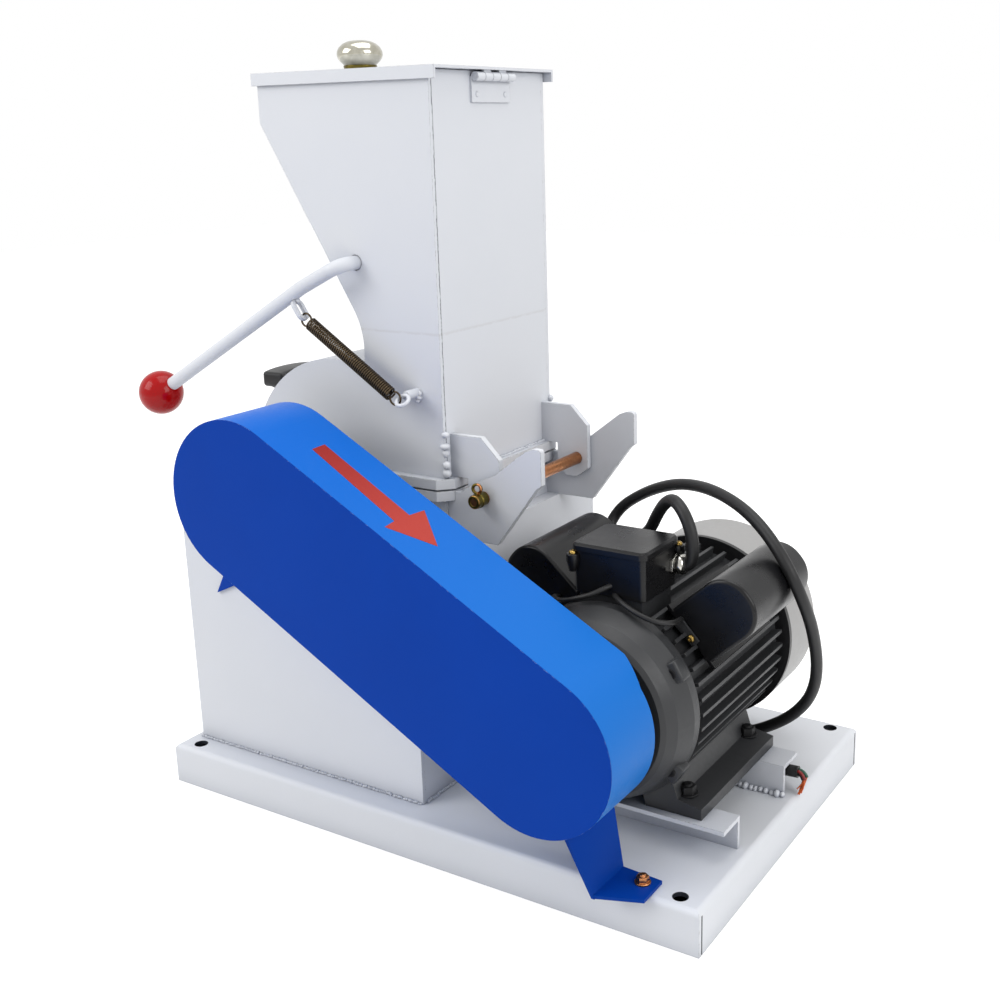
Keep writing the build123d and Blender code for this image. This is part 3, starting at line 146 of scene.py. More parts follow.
# %% [markdown]
# ## The power cable
# The real cable is one length of black rubber flex of about 11 mm. It leaves the gland on the
# terminal box, loops over the motor, turns back behind the box, comes over the right capacitor
# cover in a wide bow, goes down behind the motor and ends under the far rail, where it is cut off
# and stripped cores hang out. A NURBS curve through the route's control points bends as smoothly
# as rubber does, so the route is written once and the curve does the rest.

# %% Cable on its route
CABLE_DIAMETER = 11.0
CABLE_ROUTE = [
    (204.0, -45.0, 269.0), (209.6, -45.0, 269.0), (214.0, -45.0, 272.0), (216.0, -45.0, 279.0),
    (216.0, -45.0, 291.0), (212.5, -44.0, 304.0), (203.5, -39.5, 316.0), (190.5, -30.0, 321.5),
    (175.0, -16.0, 312.5), (159.5, -1.0, 295.0), (146.0, 14.0, 277.0), (131.0, 31.0, 264.0),
    (113.0, 49.0, 254.0), (92.0, 64.0, 243.0), (70.0, 76.0, 236.0), (54.0, 95.0, 240.0),
    (62.0, 107.0, 260.0), (86.0, 104.0, 277.0), (113.0, 94.0, 291.0), (142.0, 81.0, 301.5),
    (171.0, 67.0, 306.0), (200.0, 49.0, 306.5), (229.0, 30.0, 302.5), (254.0, 14.5, 292.5),
    (276.0, 2.5, 275.5), (290.0, -0.5, 255.0), (295.0, 10.0, 232.0), (295.5, 27.0, 208.8),
    (294.5, 42.5, 183.0), (292.0, 56.5, 157.0), (286.5, 68.0, 130.5), (275.0, 77.0, 106.5),
    (255.0, 81.5, 84.0), (226.0, 84.0, 65.0), (197.0, 82.0, 53.0), (172.0, 81.0, 46.5),
    (153.0, 68.0, 45.9), (153.0, 46.0, 45.9), (171.0, 32.0, 45.9), (194.0, 31.0, 46.5),
    (220.0, 32.0, 49.0), (243.0, 32.0, 54.0), (262.0, 32.0, 59.0), (286.5, 32.0, 60.0),
]


def flex(name, route, diameter, rounding=6):
    """A round flexible lead on a smooth curve; each point's radius gives its thickness."""
    curve = bpy.data.curves.new(name, "CURVE")
    curve.dimensions = "3D"
    curve.bevel_depth = 1.0
    curve.bevel_resolution = rounding
    curve.resolution_u = 8
    curve.use_fill_caps = True
    spline = curve.splines.new("NURBS")
    spline.points.add(len(route) - 1)
    for point, place in zip(spline.points, route):
        point.co = (*mm(*place), 1.0)
        point.radius = diameter / 2 * MM
    spline.order_u = 3
    spline.use_endpoint_u = True
    lead = bpy.data.objects.new(name, curve)
    bpy.context.scene.collection.objects.link(lead)
    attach(lead, "fixed_machine")
    return lead


power_flex = flex("power_flex", CABLE_ROUTE, CABLE_DIAMETER)
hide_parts("power_cable")
print("cable points", len(CABLE_ROUTE))

# %% [markdown]
# At the cut end the sheath is stripped back. The insulated cores come out a little way, red, green
# and black, and their copper strands have fanned out and droop under their own weight.

# %% Stripped cores and strands
CABLE_END = CABLE_ROUTE[-1]
CORE_DIAMETER = 3.0
STRAND_DIAMETER = 1.3
STRANDS_A_CORE = 4
STRAND_LOWEST = 41.2
core_plan = {
    "core_red": ((0.0, -1.6, 1.6), (5.2, -2.4, 0.8), (7.2, -3.4, -4.6)),
    "core_green": ((0.0, 1.8, 1.4), (5.6, 2.0, 0.6), (7.6, 1.4, -4.0)),
    "core_black": ((0.0, 0.0, -2.2), (3.6, -0.4, -2.8), (4.8, -1.2, -6.4)),
}
core_pieces = {}
for core_name, run in core_plan.items():
    places = [tuple(a + b for a, b in zip(CABLE_END, step)) for step in run]
    core_pieces[core_name] = flex(core_name, places, CORE_DIAMETER, rounding=3)

strand_chance = random.Random(5)
strands = []
for core_name, run in core_plan.items():
    root = [a + b for a, b in zip(CABLE_END, run[-1])]
    for k in range(STRANDS_A_CORE):
        lean = [strand_chance.uniform(-2.6, 2.6) for _ in range(3)]
        mid = (root[0] + lean[0] * 0.5 - 1.0, root[1] + lean[1] * 0.6 - 1.5,
               root[2] - 5.5 + lean[2] * 0.4)
        tip = (root[0] - 3.0 + lean[0], root[1] - 3.5 + lean[1],
               max(STRAND_LOWEST, root[2] - 11.0 + lean[2]))
        strands.append(flex(core_name + "_strand_%d" % k, [tuple(root), mid, tip], STRAND_DIAMETER,
                            rounding=1))
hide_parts("cable_cores")
print("cores", len(core_pieces), "strands", len(strands))

# %% [markdown]
# Two thin leads join the terminal box to the capacitors. They come out at the foot of the box and
# lie over the shoulder of the end shield.

# %% Capacitor leads
LEAD_DIAMETER = 4.6
lead_plan = {
    "lead_to_left_capacitor": ([
        (166.0, -96.0, 260.0), (163.0, -103.0, 259.0), (154.0, -109.0, 254.0), (143.0, -112.5, 250.0),
        (131.0, -112.5, 245.5), (119.0, -108.0, 242.5), (109.0, -97.0, 240.0), (102.0, -84.0, 235.0),
        (99.0, -71.0, 230.0)], 0.093),
    "lead_to_right_capacitor": ([
        (168.0, -96.0, 252.5), (176.0, -104.0, 252.0), (189.0, -109.5, 248.5), (203.0, -110.5, 243.5),
        (216.0, -106.0, 239.0), (223.0, -94.0, 236.5), (221.0, -82.0, 234.0),
        (219.0, -71.0, 231.5)], 0.092),
}
leads = []
for lead_name, (route, length) in lead_plan.items():
    lead = flex(lead_name, route, LEAD_DIAMETER, rounding=4)
    leads.append(lead)
print("leads", [lead.name for lead in leads])

# %% [markdown]
# ## Finishes
# The sheet metal is sprayed with a semi-gloss white enamel that has a faint cool cast. Close up,
# the spray leaves a fine ripple, knocked edges are dull grey where the paint is gone, and handling
# leaves soft scuffs. The edge wear is found with the Bevel node, which compares the rounded normal
# with the true one, so it needs no painted map. A finish can repaint its colour with a pattern of
# its own before the wear goes on.

# %% Enamel on sheet steel
RIPPLE_MM = 2.2
CLOUD_MM = 140.0
CHIP_MM = 4.0
SHADE_REACH_MM = 26.0
SHADE_AND_DUST_COLOUR = "6d7484"
SHARP_MATCH = 0.72
FLAT_MATCH = 0.985
CHIP_STARTS = 0.56
CHIP_FULL = 0.60


def edge_mask(tree, radius_mm):
    """White near sharp edges, where the two normals match least, and black on the flats."""
    rounded = node(tree, "ShaderNodeBevel", {"Radius": radius_mm * MM}, samples=6)
    true = node(tree, "ShaderNodeNewGeometry")
    match = node(tree, "ShaderNodeVectorMath",
                 {0: rounded.outputs["Normal"], 1: true.outputs["True Normal"]}, operation="DOT_PRODUCT")
    return node(tree, "ShaderNodeMapRange",
                {"Value": match.outputs["Value"], "From Min": FLAT_MATCH, "From Max": SHARP_MATCH})


def corner_shade_and_dust(tree, most):
    """Painted shade with dust: most in a deep corner, where shade falls, none on an open face."""
    open_sky = node(tree, "ShaderNodeAmbientOcclusion", {"Distance": SHADE_REACH_MM * MM}, samples=6)
    return node(tree, "ShaderNodeMapRange",
                {"Value": open_sky.outputs["AO"], "From Min": 0.25, "From Max": 0.85, "To Min": most,
                 "To Max": 0.0})


def band(tree, value, middle, half, soft):
    """White where a value lies within half of middle, black elsewhere."""
    away = node(tree, "ShaderNodeMath", {0: value, 1: middle}, operation="SUBTRACT")
    size = node(tree, "ShaderNodeMath", {0: away.outputs["Value"]}, operation="ABSOLUTE")
    return node(tree, "ShaderNodeMapRange",
                {"Value": size.outputs["Value"], "From Min": half + soft, "From Max": half})


def enamel(name, colour, shade, edge_wear_and_highlight="7f7d79", roughness=0.42, edge_radius=1.2, chips=0.05, specular=0.4,
           repaint=None, shade_and_dust=0.0):
    """Sprayed enamel: clouded colour, painted corner shade with dust, worn edges, chips and a fine ripple.
    """
    material, tree, output = new_material(name)
    place = node(tree, "ShaderNodeTexCoord").outputs["Object"]
    cloud = node(tree, "ShaderNodeTexNoise",
                 {"Vector": place, "Scale": 1.0 / (CLOUD_MM * MM), "Detail": 3.0, "Roughness": 0.6})
    tone = node(tree, "ShaderNodeMix",
                {"Factor": cloud.outputs["Fac"], 6: linear(colour), 7: linear(shade)}, data_type="RGBA")
    paint = tone.outputs[2]
    if repaint is not None:
        paint = repaint(tree, place, paint)
    # Painted shade with dust: the paint darkens to a grey-blue in corners and creases.
    if shade_and_dust > 0.0:
        shade_and_dust_mask = corner_shade_and_dust(tree, shade_and_dust)
        paint = node(tree, "ShaderNodeMix",
                     {"Factor": shade_and_dust_mask.outputs["Result"], 6: paint, 7: linear(SHADE_AND_DUST_COLOUR)},
                     data_type="RGBA").outputs[2]
    speck = node(tree, "ShaderNodeTexNoise",
                 {"Vector": place, "Scale": 1.0 / (CHIP_MM * MM), "Detail": 4.0, "Roughness": 0.7})
    edge = edge_mask(tree, edge_radius)
    worn = node(tree, "ShaderNodeMath", {0: edge.outputs["Result"], 1: speck.outputs["Fac"]},
                operation="MULTIPLY")
    # Worn edges take the bare-metal colour; on the guard that colour is a pale blue painted highlight.
    chipped_and_highlit = node(tree, "ShaderNodeMapRange",
                   {"Value": worn.outputs["Value"], "From Min": CHIP_STARTS - chips,
                    "From Max": CHIP_FULL - chips})
    colour_mix = node(tree, "ShaderNodeMix",
                      {"Factor": chipped_and_highlit.outputs["Result"], 6: paint, 7: linear(edge_wear_and_highlight)},
                      data_type="RGBA")
    rough = node(tree, "ShaderNodeMapRange",
                 {"Value": speck.outputs["Fac"], "From Min": 0.3, "From Max": 0.7,
                  "To Min": roughness - 0.05, "To Max": roughness + 0.07})
    ripple = node(tree, "ShaderNodeTexNoise",
                  {"Vector": place, "Scale": 1.0 / (RIPPLE_MM * MM), "Detail": 2.0})
    rounded = node(tree, "ShaderNodeBevel", {"Radius": edge_radius * 0.6 * MM}, samples=6)
    bump = node(tree, "ShaderNodeBump",
                {"Strength": 0.10, "Distance": 0.1 * MM, "Height": ripple.outputs["Fac"],
                 "Normal": rounded.outputs["Normal"]})
    shader = node(tree, "ShaderNodeBsdfPrincipled",
                  {"Base Color": colour_mix.outputs[2], "Roughness": rough.outputs["Result"],
                   "IOR": 1.5, "Specular IOR Level": specular, "Normal": bump.outputs["Normal"]})
    tree.links.new(shader.outputs["BSDF"], output.inputs["Surface"])
    return material


print("ripple", RIPPLE_MM, "mm, clouds", CLOUD_MM, "mm, chips", CHIP_MM, "mm")

# %% [markdown]
# Four finishes carry a pattern in their paint. On the guard the rolled rim has a painted sheen,
# a lighter blue than the flat face. The hopper's welded corner shows as a thin dark line with breaks
# in it, and a grinding line crosses the hopper where two sheets meet. The fan cowl's front edge has
# painted shade, a black band for the dark gap between the cowl and the motor. The base plate's bolt
# holes and its open corner seams get painted shade, black, since it is dark under the tray.

# %% Patterns in the paint
GUARD_FACE_Y = -226.0
GUARD_OUTWARD = (0.4763, 0.0, 0.8793)
TAB_BELOW = 150.2
RIM_SHEEN_LOW_Z = 150.0
RIM_SHEEN_HIGH_Z = 380.0
HOPPER_SEAM_Y = -78.0
HOPPER_JOIN_Z = 457.0
COWL_FRONT_Y = 84.0
COWL_SHADE_BAND = 4.4
BASE_HOLE = (267.0, 169.5)
BASE_HOLE_REACH = 6.7
BASE_SEAM = (288.0, 178.3, 35.5)


def painted_rim_sheen(tree, place, paint):
    """Painted sheen: the guard's rim in a lighter blue than its face, graded with height."""
    parts = node(tree, "ShaderNodeSeparateXYZ", {"Vector": place})
    behind = node(tree, "ShaderNodeMapRange",
                  {"Value": parts.outputs["Y"], "From Min": (GUARD_FACE_Y + 0.4) * MM,
                   "From Max": (GUARD_FACE_Y + 1.0) * MM})
    height = node(tree, "ShaderNodeMapRange",
                  {"Value": parts.outputs["Z"], "From Min": RIM_SHEEN_LOW_Z * MM, "From Max": RIM_SHEEN_HIGH_Z * MM})
    rim_sheen = node(tree, "ShaderNodeMix",
               {"Factor": height.outputs["Result"], 6: linear("2574c8"), 7: linear("1668cc")},
               data_type="RGBA")
    outward = node(tree, "ShaderNodeVectorMath", {0: place, 1: GUARD_OUTWARD}, operation="DOT_PRODUCT")
    on_rim = node(tree, "ShaderNodeMath", {0: outward.outputs["Value"], 1: TAB_BELOW * MM},
                  operation="GREATER_THAN")
    light = node(tree, "ShaderNodeMath",
                 {0: behind.outputs["Result"], 1: on_rim.outputs["Value"]}, operation="MULTIPLY")
    return node(tree, "ShaderNodeMix", {"Factor": light.outputs["Value"], 6: paint, 7: rim_sheen.outputs[2]},
                data_type="RGBA").outputs[2]


def broken_seam(tree, place, paint):
    """A thin dark broken line up the hopper's welded corner and a faint one across it."""
    parts = node(tree, "ShaderNodeSeparateXYZ", {"Vector": place})
    wander = node(tree, "ShaderNodeTexNoise",
                  {"Vector": place, "Scale": 1.0 / (12.0 * MM), "Detail": 5.0, "Roughness": 0.75})
    shift = node(tree, "ShaderNodeMapRange",
                 {"Value": wander.outputs["Fac"], "To Min": -1.6 * MM, "To Max": 1.6 * MM})
    across = node(tree, "ShaderNodeMath", {0: parts.outputs["Y"], 1: shift.outputs["Result"]},
                  operation="ADD")
    line = band(tree, across.outputs["Value"], HOPPER_SEAM_Y * MM, 0.25 * MM, 0.45 * MM)
    breaks = node(tree, "ShaderNodeMapRange",
                  {"Value": wander.outputs["Fac"], "From Min": 0.36, "From Max": 0.5, "To Min": 0.25})
    dark = node(tree, "ShaderNodeMath", {0: line.outputs["Result"], 1: breaks.outputs["Result"]},
                operation="MULTIPLY")
    seamed = node(tree, "ShaderNodeMix",
                  {"Factor": dark.outputs["Value"], 6: paint, 7: linear("4a4c55")}, data_type="RGBA")
    level = node(tree, "ShaderNodeMath", {0: parts.outputs["Z"], 1: shift.outputs["Result"]},
                 operation="ADD")
    join = band(tree, level.outputs["Value"], HOPPER_JOIN_Z * MM, 0.3 * MM, 1.5 * MM)
    faint = node(tree, "ShaderNodeMath", {0: join.outputs["Result"], 1: breaks.outputs["Result"]},
                 operation="MULTIPLY")
    faint = node(tree, "ShaderNodeMath", {0: faint.outputs["Value"], 1: 0.22}, operation="MULTIPLY")
    return node(tree, "ShaderNodeMix",
                {"Factor": faint.outputs["Value"], 6: seamed.outputs[2], 7: linear("b4b0ae")},
                data_type="RGBA").outputs[2]


def painted_gap_shade(tree, place, paint):
    """Painted shade: the cowl's front edge in black, for the dark gap between the cowl and the motor."""
    parts = node(tree, "ShaderNodeSeparateXYZ", {"Vector": place})
    behind = node(tree, "ShaderNodeMapRange",
                  {"Value": parts.outputs["Y"], "From Min": (COWL_FRONT_Y + COWL_SHADE_BAND) * MM,
                   "From Max": (COWL_FRONT_Y + COWL_SHADE_BAND + 0.6) * MM})
    return node(tree, "ShaderNodeMix",
                {"Factor": behind.outputs["Result"], 6: linear("141416"), 7: paint},
                data_type="RGBA").outputs[2]


def painted_opening_shade(tree, place, paint):
    """Painted shade: black on the walls of the base plate's bolt holes and in the open seams of its corners.
    """
    parts = node(tree, "ShaderNodeSeparateXYZ", {"Vector": place})
    sizes = [node(tree, "ShaderNodeMath", {0: parts.outputs[axis]}, operation="ABSOLUTE").outputs["Value"]
             for axis in "XY"]
    reach = [node(tree, "ShaderNodeMath", {0: size, 1: hole * MM}, operation="SUBTRACT").outputs["Value"]
             for size, hole in zip(sizes, BASE_HOLE)]
    flat = node(tree, "ShaderNodeCombineXYZ", {"X": reach[0], "Y": reach[1]})
    far = node(tree, "ShaderNodeVectorMath", {0: flat.outputs["Vector"]}, operation="LENGTH")
    in_hole = node(tree, "ShaderNodeMath", {0: far.outputs["Value"], 1: BASE_HOLE_REACH * MM},
                   operation="LESS_THAN")
    slit = band(tree, sizes[1], BASE_SEAM[1] * MM, 0.9 * MM, 0.2 * MM)
    at_end = node(tree, "ShaderNodeMath", {0: sizes[0], 1: BASE_SEAM[0] * MM}, operation="GREATER_THAN")
    low = node(tree, "ShaderNodeMath", {0: parts.outputs["Z"], 1: BASE_SEAM[2] * MM}, operation="LESS_THAN")
    in_slit = node(tree, "ShaderNodeMath", {0: slit.outputs["Result"], 1: at_end.outputs["Value"]},
                   operation="MULTIPLY")
    in_slit = node(tree, "ShaderNodeMath", {0: in_slit.outputs["Value"], 1: low.outputs["Value"]},
                   operation="MULTIPLY")
    dark = node(tree, "ShaderNodeMath", {0: in_hole.outputs["Value"], 1: in_slit.outputs["Value"]},
                operation="MAXIMUM")
    return node(tree, "ShaderNodeMix", {"Factor": dark.outputs["Value"], 6: paint, 7: linear("0b0b0d")},
                data_type="RGBA").outputs[2]


print("patterns", [pattern.__name__ for pattern in (painted_rim_sheen, broken_seam, painted_gap_shade, painted_opening_shade)])

# %% [markdown]
# Every enamelled piece gets one of these paints. They share one recipe, so that they look like
# work from one spray shop, and differ in how much painted corner shade and dust they carry and how
# many edges are knocked.

# %% Paints
# Semi-gloss white, sprayed: an even pale sheet with soft highlights and grey knocked edges.
white_enamel = enamel("semi_gloss_white_enamel", "dfe1e6", "d8dbe1", shade_and_dust=0.5)
# The same white over a welded corner: the weld shows through as a thin dark line.
hopper_enamel = enamel("white_enamel_over_welds", "dfe1e6", "d8dbe1", repaint=broken_seam, shade_and_dust=0.35)
# White on flanges and ears: many chips, where tools and the housing knock them.
flange_enamel = enamel("scuffed_white_enamel", "e4e6ea", "d6d9df", edge_wear_and_highlight="6e6c68", edge_radius=2.0,
                       chips=0.13, specular=0.5, shade_and_dust=0.6)
# White on the rails: painted shade and dust darken their corners.
rail_enamel = enamel("dusty_shaded_white_enamel", "dfe1e6", "d2d5dc", edge_radius=1.4, chips=0.10, shade_and_dust=0.95)
# White on the folded plate: a little brighter, with black painted shade in its openings.
base_enamel = enamel("folded_plate_white_enamel", "e0e2e7", "dadde2", edge_radius=1.4, chips=0.07,
                     repaint=painted_opening_shade, shade_and_dust=0.35)
# Gloss blue: a deep even blue, and on the guard a painted highlight, a pale line along its edges.
blue_enamel = enamel("gloss_blue_enamel", "063f9e", "053a94", edge_wear_and_highlight="0a2a70", roughness=0.34,
                     edge_radius=1.0, chips=-0.2, specular=0.06)
guard_enamel = enamel("gloss_blue_guard_enamel", "0541aa", "033a9c", edge_wear_and_highlight="a9c3ee", roughness=0.34,
                      edge_radius=1.0, chips=0.02, specular=0.06, repaint=painted_rim_sheen)
# Dark grey on cast aluminium: a satin grey that lightens on the ribs' edges.
motor_enamel = enamel("dark_grey_motor_enamel", "333436", "2b2c2e", edge_wear_and_highlight="6a6a68", edge_radius=0.9)
# Silver-grey on pressed sheet: a light satin grey, with a black band of painted shade at its front edge.
cowl_enamel = enamel("silver_grey_cowl_enamel", "a5a4a3", "989796", edge_wear_and_highlight="55534f", roughness=0.38,
                     edge_radius=1.0, chips=0.02, specular=0.5, repaint=painted_gap_shade)
print("enamels", [m.name for m in bpy.data.materials if m.name.endswith("enamel")])

# %% [markdown]
# The plastics, rubber and bare metals need fewer layers. Moulded plastic has a fine grain, rubber
# is dull with a soft bloom, and turned or plated metal is a clean reflection broken by faint marks.

# %% Plastics, rubber and bare metals
EASED_EDGE_MM = 0.8


def plain_finish(name, colour, shade, roughness, grain_mm, depth_mm, metallic=0.0, rough_spread=0.06,
                 specular=0.5, patch_mm=25.0):
    """One surface finish: two close tones, a grain of a real size and a slight gloss change."""
    material, tree, output = new_material(name)
    place = node(tree, "ShaderNodeTexCoord").outputs["Object"]
    patch = node(tree, "ShaderNodeTexNoise",
                 {"Vector": place, "Scale": 1.0 / (patch_mm * MM), "Detail": 4.0, "Roughness": 0.65})
    tone = node(tree, "ShaderNodeMix",
                {"Factor": patch.outputs["Fac"], 6: linear(colour), 7: linear(shade)}, data_type="RGBA")
    rough = node(tree, "ShaderNodeMapRange",
                 {"Value": patch.outputs["Fac"], "From Min": 0.3, "From Max": 0.7,
                  "To Min": roughness - rough_spread, "To Max": roughness + rough_spread})
    grain = node(tree, "ShaderNodeTexNoise",
                 {"Vector": place, "Scale": 1.0 / (grain_mm * MM), "Detail": 2.0})
    rounded = node(tree, "ShaderNodeBevel", {"Radius": EASED_EDGE_MM * MM}, samples=6)
    bump = node(tree, "ShaderNodeBump",
                {"Strength": 0.35, "Distance": depth_mm * MM, "Height": grain.outputs["Fac"],
                 "Normal": rounded.outputs["Normal"]})
    shader = node(tree, "ShaderNodeBsdfPrincipled",
                  {"Base Color": tone.outputs[2], "Roughness": rough.outputs["Result"],
                   "Metallic": metallic, "IOR": 1.5, "Specular IOR Level": specular,
                   "Normal": bump.outputs["Normal"]})
    tree.links.new(shader.outputs["BSDF"], output.inputs["Surface"])
    return material


finishes = {
    "white_enamel": white_enamel,
    "blue_paint": blue_enamel,
    "motor_paint": motor_enamel,
    "cowl_paint": cowl_enamel,
    # Polished phenolic: deep red with a small sharp highlight.
    "red_ball": plain_finish("polished_red_phenolic", "b00509", "9c0408", 0.13, 3.0, 0.004,
                             rough_spread=0.03, specular=0.22),
    # Moulded ABS: an even black with a soft wide sheen.
    "black_plastic": plain_finish("moulded_black_abs", "0d0d0f", "121214", 0.30, 1.6, 0.006,
                                  specular=0.3),
    # Moulded nylon: duller than ABS, with a fine grain.
    "handle_plastic": plain_finish("moulded_black_nylon", "18191a", "1f2021", 0.42, 0.9, 0.05,
                                   specular=0.35),
    # Rubber sheath: dull black that lightens along its top.
    "cable_rubber": plain_finish("black_rubber_sheath", "171718", "1e1e1f", 0.46, 0.7, 0.03,
                                 specular=0.35),
    # Bare copper strand: a warm metal, clouded by air.
    "core_copper": plain_finish("copper_strand", "d06a3e", "a04a28", 0.35, 0.5, 0.01, metallic=1.0),
    # Nickel on brass: bright, with a faint grain.
    "gland_metal": plain_finish("nickel_plated_brass", "c4c2bc", "aeaca6", 0.16, 0.7, 0.01, metallic=1.0),
    # Copper-flashed rod: patches of bright and brown metal.
    "rod_copper": plain_finish("copper_flashed_steel_rod", "d99a68", "8a5234", 0.30, 1.2, 0.03,
                               metallic=1.0, rough_spread=0.12, patch_mm=9.0),
    # Oiled spring steel: brown, with a thin highlight on each turn.
    "spring_steel": plain_finish("oiled_spring_steel", "5a4c3a", "352d23", 0.34, 0.6, 0.01, metallic=0.9),
    # Polished nickel: a mirror, with olive-grey patches painted in as reflections of dark surroundings.
    "knob_chrome": plain_finish("polished_nickel_painted_reflections", "dcd9ce", "8e8a76", 0.12, 2.0, 0.004, metallic=1.0,
                                rough_spread=0.03, patch_mm=9.0),
    # Painted cast iron: a coarse skin with no shine.
    "cast_iron": plain_finish("painted_cast_iron", "4a4c4e", "3c3e40", 0.55, 1.4, 0.12),
    # Turned steel: a grey satin metal.
    "machined_steel": plain_finish("turned_steel", "8e8e8c", "7a7a78", 0.30, 0.9, 0.02, metallic=1.0),
    # Belt rubber: dull and dusty.
    "belt_rubber": plain_finish("belt_rubber", "19191a", "222223", 0.62, 0.9, 0.05),
}
# The screws' thin brass coat, the oxide on the black bolts, the rod end's tarnish and the coloured
# skins of the cores.
brass_finish = plain_finish("zinc_brass_screw", "b89a55", "8c7440", 0.25, 0.8, 0.01, metallic=1.0)
black_oxide = plain_finish("black_oxide_steel", "121213", "19191b", 0.50, 0.7, 0.02, specular=0.2)
old_brass = plain_finish("tarnished_brass_rod_end", "7d6f35", "4f4620", 0.34, 0.9, 0.02, metallic=1.0,
                         patch_mm=6.0)
red_insulation = plain_finish("red_pvc_insulation", "8e1a18", "701412", 0.40, 0.6, 0.01)
green_insulation = plain_finish("green_pvc_insulation", "1d5a44", "174a38", 0.40, 0.6, 0.01)
node_slots = {part["node"]: part["material_slot"] for part in frame["record"]["subparts"]}
own_finish = {
    "belt_guard": guard_enamel,
    "base_plate": base_enamel,
    "rail_near": rail_enamel,
    "rail_far": rail_enamel,
    "upper_near_plate": hopper_enamel,
    "hopper_back_wall": hopper_enamel,
    "upper_flange": flange_enamel,
    "lower_flange": flange_enamel,
    "tilt_ear_near": flange_enamel,
    "hinge_ear_near": flange_enamel,
}


def finish_piece(piece, material):
    """Gives a whole piece one material."""
    piece.data.materials.clear()
    piece.data.materials.append(material)


for name, cad_node in nodes.items():
    finish_piece(cad_node, own_finish.get(name, finishes[node_slots[name]]))
for piece in [power_flex, *leads]:
    finish_piece(piece, finishes["cable_rubber"])
finish_piece(core_pieces["core_red"], red_insulation)
finish_piece(core_pieces["core_green"], green_insulation)
finish_piece(core_pieces["core_black"], finishes["cable_rubber"])
for piece in strands:
    finish_piece(piece, finishes["core_copper"])
print("finished nodes", len(nodes))

# %% [markdown]
# ## Making small pieces
# Small turned, six-sided and poured shapes come back all over the machine, so each gets one helper.
# A helper shapes its own small bmesh with operators, moves it to its seat and joins it to the
# piece that is being built. Each finished piece is one mesh whose object stays at the origin.

# %% Helpers for small pieces
def seat(point, axis):
    """A place for a small shape: its foot at a point in millimetres, its Z along an axis."""
    turn = Vector(axis).to_track_quat("Z", "Y").to_matrix().to_4x4()
    return Matrix.Translation(mm(*point)) @ turn


def join_to(shape, made, place):
    """Moves a small shape to its place and adds it to a larger one."""
    bmesh.ops.transform(made, matrix=place, verts=made.verts)
    carried = bpy.data.meshes.new("carried")
    made.to_mesh(carried)
    made.free()
    shape.from_mesh(carried)
    bpy.data.meshes.remove(carried)


def add_turned(shape, profile, place, steps=24):
    """Spins a profile of radius and height pairs about Z."""
    made = bmesh.new()
    ring = [made.verts.new(mm(radius, 0.0, height)) for radius, height in profile]
    for first, second in zip(ring, ring[1:]):
        made.edges.new((first, second))
    bmesh.ops.spin(made, geom=made.verts[:] + made.edges[:], angle=math.tau, steps=steps,
                   axis=(0.0, 0.0, 1.0), cent=(0.0, 0.0, 0.0), use_merge=True)
    bmesh.ops.remove_doubles(made, verts=made.verts, dist=1e-6)
    bmesh.ops.recalc_face_normals(made, faces=made.faces)
    join_to(shape, made, place)


def add_wire_ring(shape, radius, wire, place, steps):
    """A closed ring of round wire about Z."""
    made = bmesh.new()
    bmesh.ops.create_circle(made, cap_ends=False, segments=8, radius=wire / 2 * MM)
    bmesh.ops.rotate(made, cent=(0.0, 0.0, 0.0), matrix=Matrix.Rotation(math.radians(90), 3, "X"),
                     verts=made.verts)
    bmesh.ops.translate(made, vec=mm(radius, 0.0, 0.0), verts=made.verts)
    bmesh.ops.spin(made, geom=made.verts[:] + made.edges[:], angle=math.tau, steps=steps,
                   axis=(0.0, 0.0, 1.0), cent=(0.0, 0.0, 0.0), use_merge=True)
    bmesh.ops.remove_doubles(made, verts=made.verts, dist=1e-6)
    bmesh.ops.recalc_face_normals(made, faces=made.faces)
    join_to(shape, made, place)


def add_hexagon(shape, across, height, place):
    """A six-sided head with its top edges eased."""
    made = bmesh.new()
    bmesh.ops.create_cone(made, cap_ends=True, segments=6, radius1=across / math.sqrt(3) * MM,
                          radius2=across / math.sqrt(3) * MM, depth=height * MM)
    bmesh.ops.translate(made, verts=made.verts, vec=mm(0.0, 0.0, height / 2))
    top = [e for e in made.edges if all(v.co.z > height * 0.9 * MM for v in e.verts)]
    bmesh.ops.bevel(made, geom=top, offset=across * 0.07 * MM, affect="EDGES", segments=2, profile=0.5,
                    material=-1)
    join_to(shape, made, place)


def add_block(shape, size, place, ease):
    """A block centred on its place, with eased edges."""
    made = bmesh.new()
    bmesh.ops.create_cube(made, size=1.0)
    bmesh.ops.scale(made, vec=mm(*size), verts=made.verts)
    bmesh.ops.bevel(made, geom=made.edges[:], offset=ease * MM, affect="EDGES", segments=3, profile=0.5,
                    material=-1)
    join_to(shape, made, place)


def settle(shape, name, body, material, crease=35.0):
    """Closes a shape into a piece that rides on a body, or on none."""
    mesh = bpy.data.meshes.new(name)
    shape.to_mesh(mesh)
    shape.free()
    for face in mesh.polygons:
        face.use_smooth = True
    mesh.set_sharp_from_angle(angle=math.radians(crease))
    piece = bpy.data.objects.new(name, mesh)
    bpy.context.scene.collection.objects.link(piece)
    finish_piece(piece, material)
    if body is not None:
        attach(piece, body)
    print(name, "faces", len(mesh.polygons))
    return piece


def turned_piece(name, profile, place, steps, body, material):
    """A piece that is one turned shape."""
    shape = bmesh.new()
    add_turned(shape, profile, place, steps=steps)
    return settle(shape, name, body, material)


print("meshes before the small pieces", len(bpy.data.meshes))

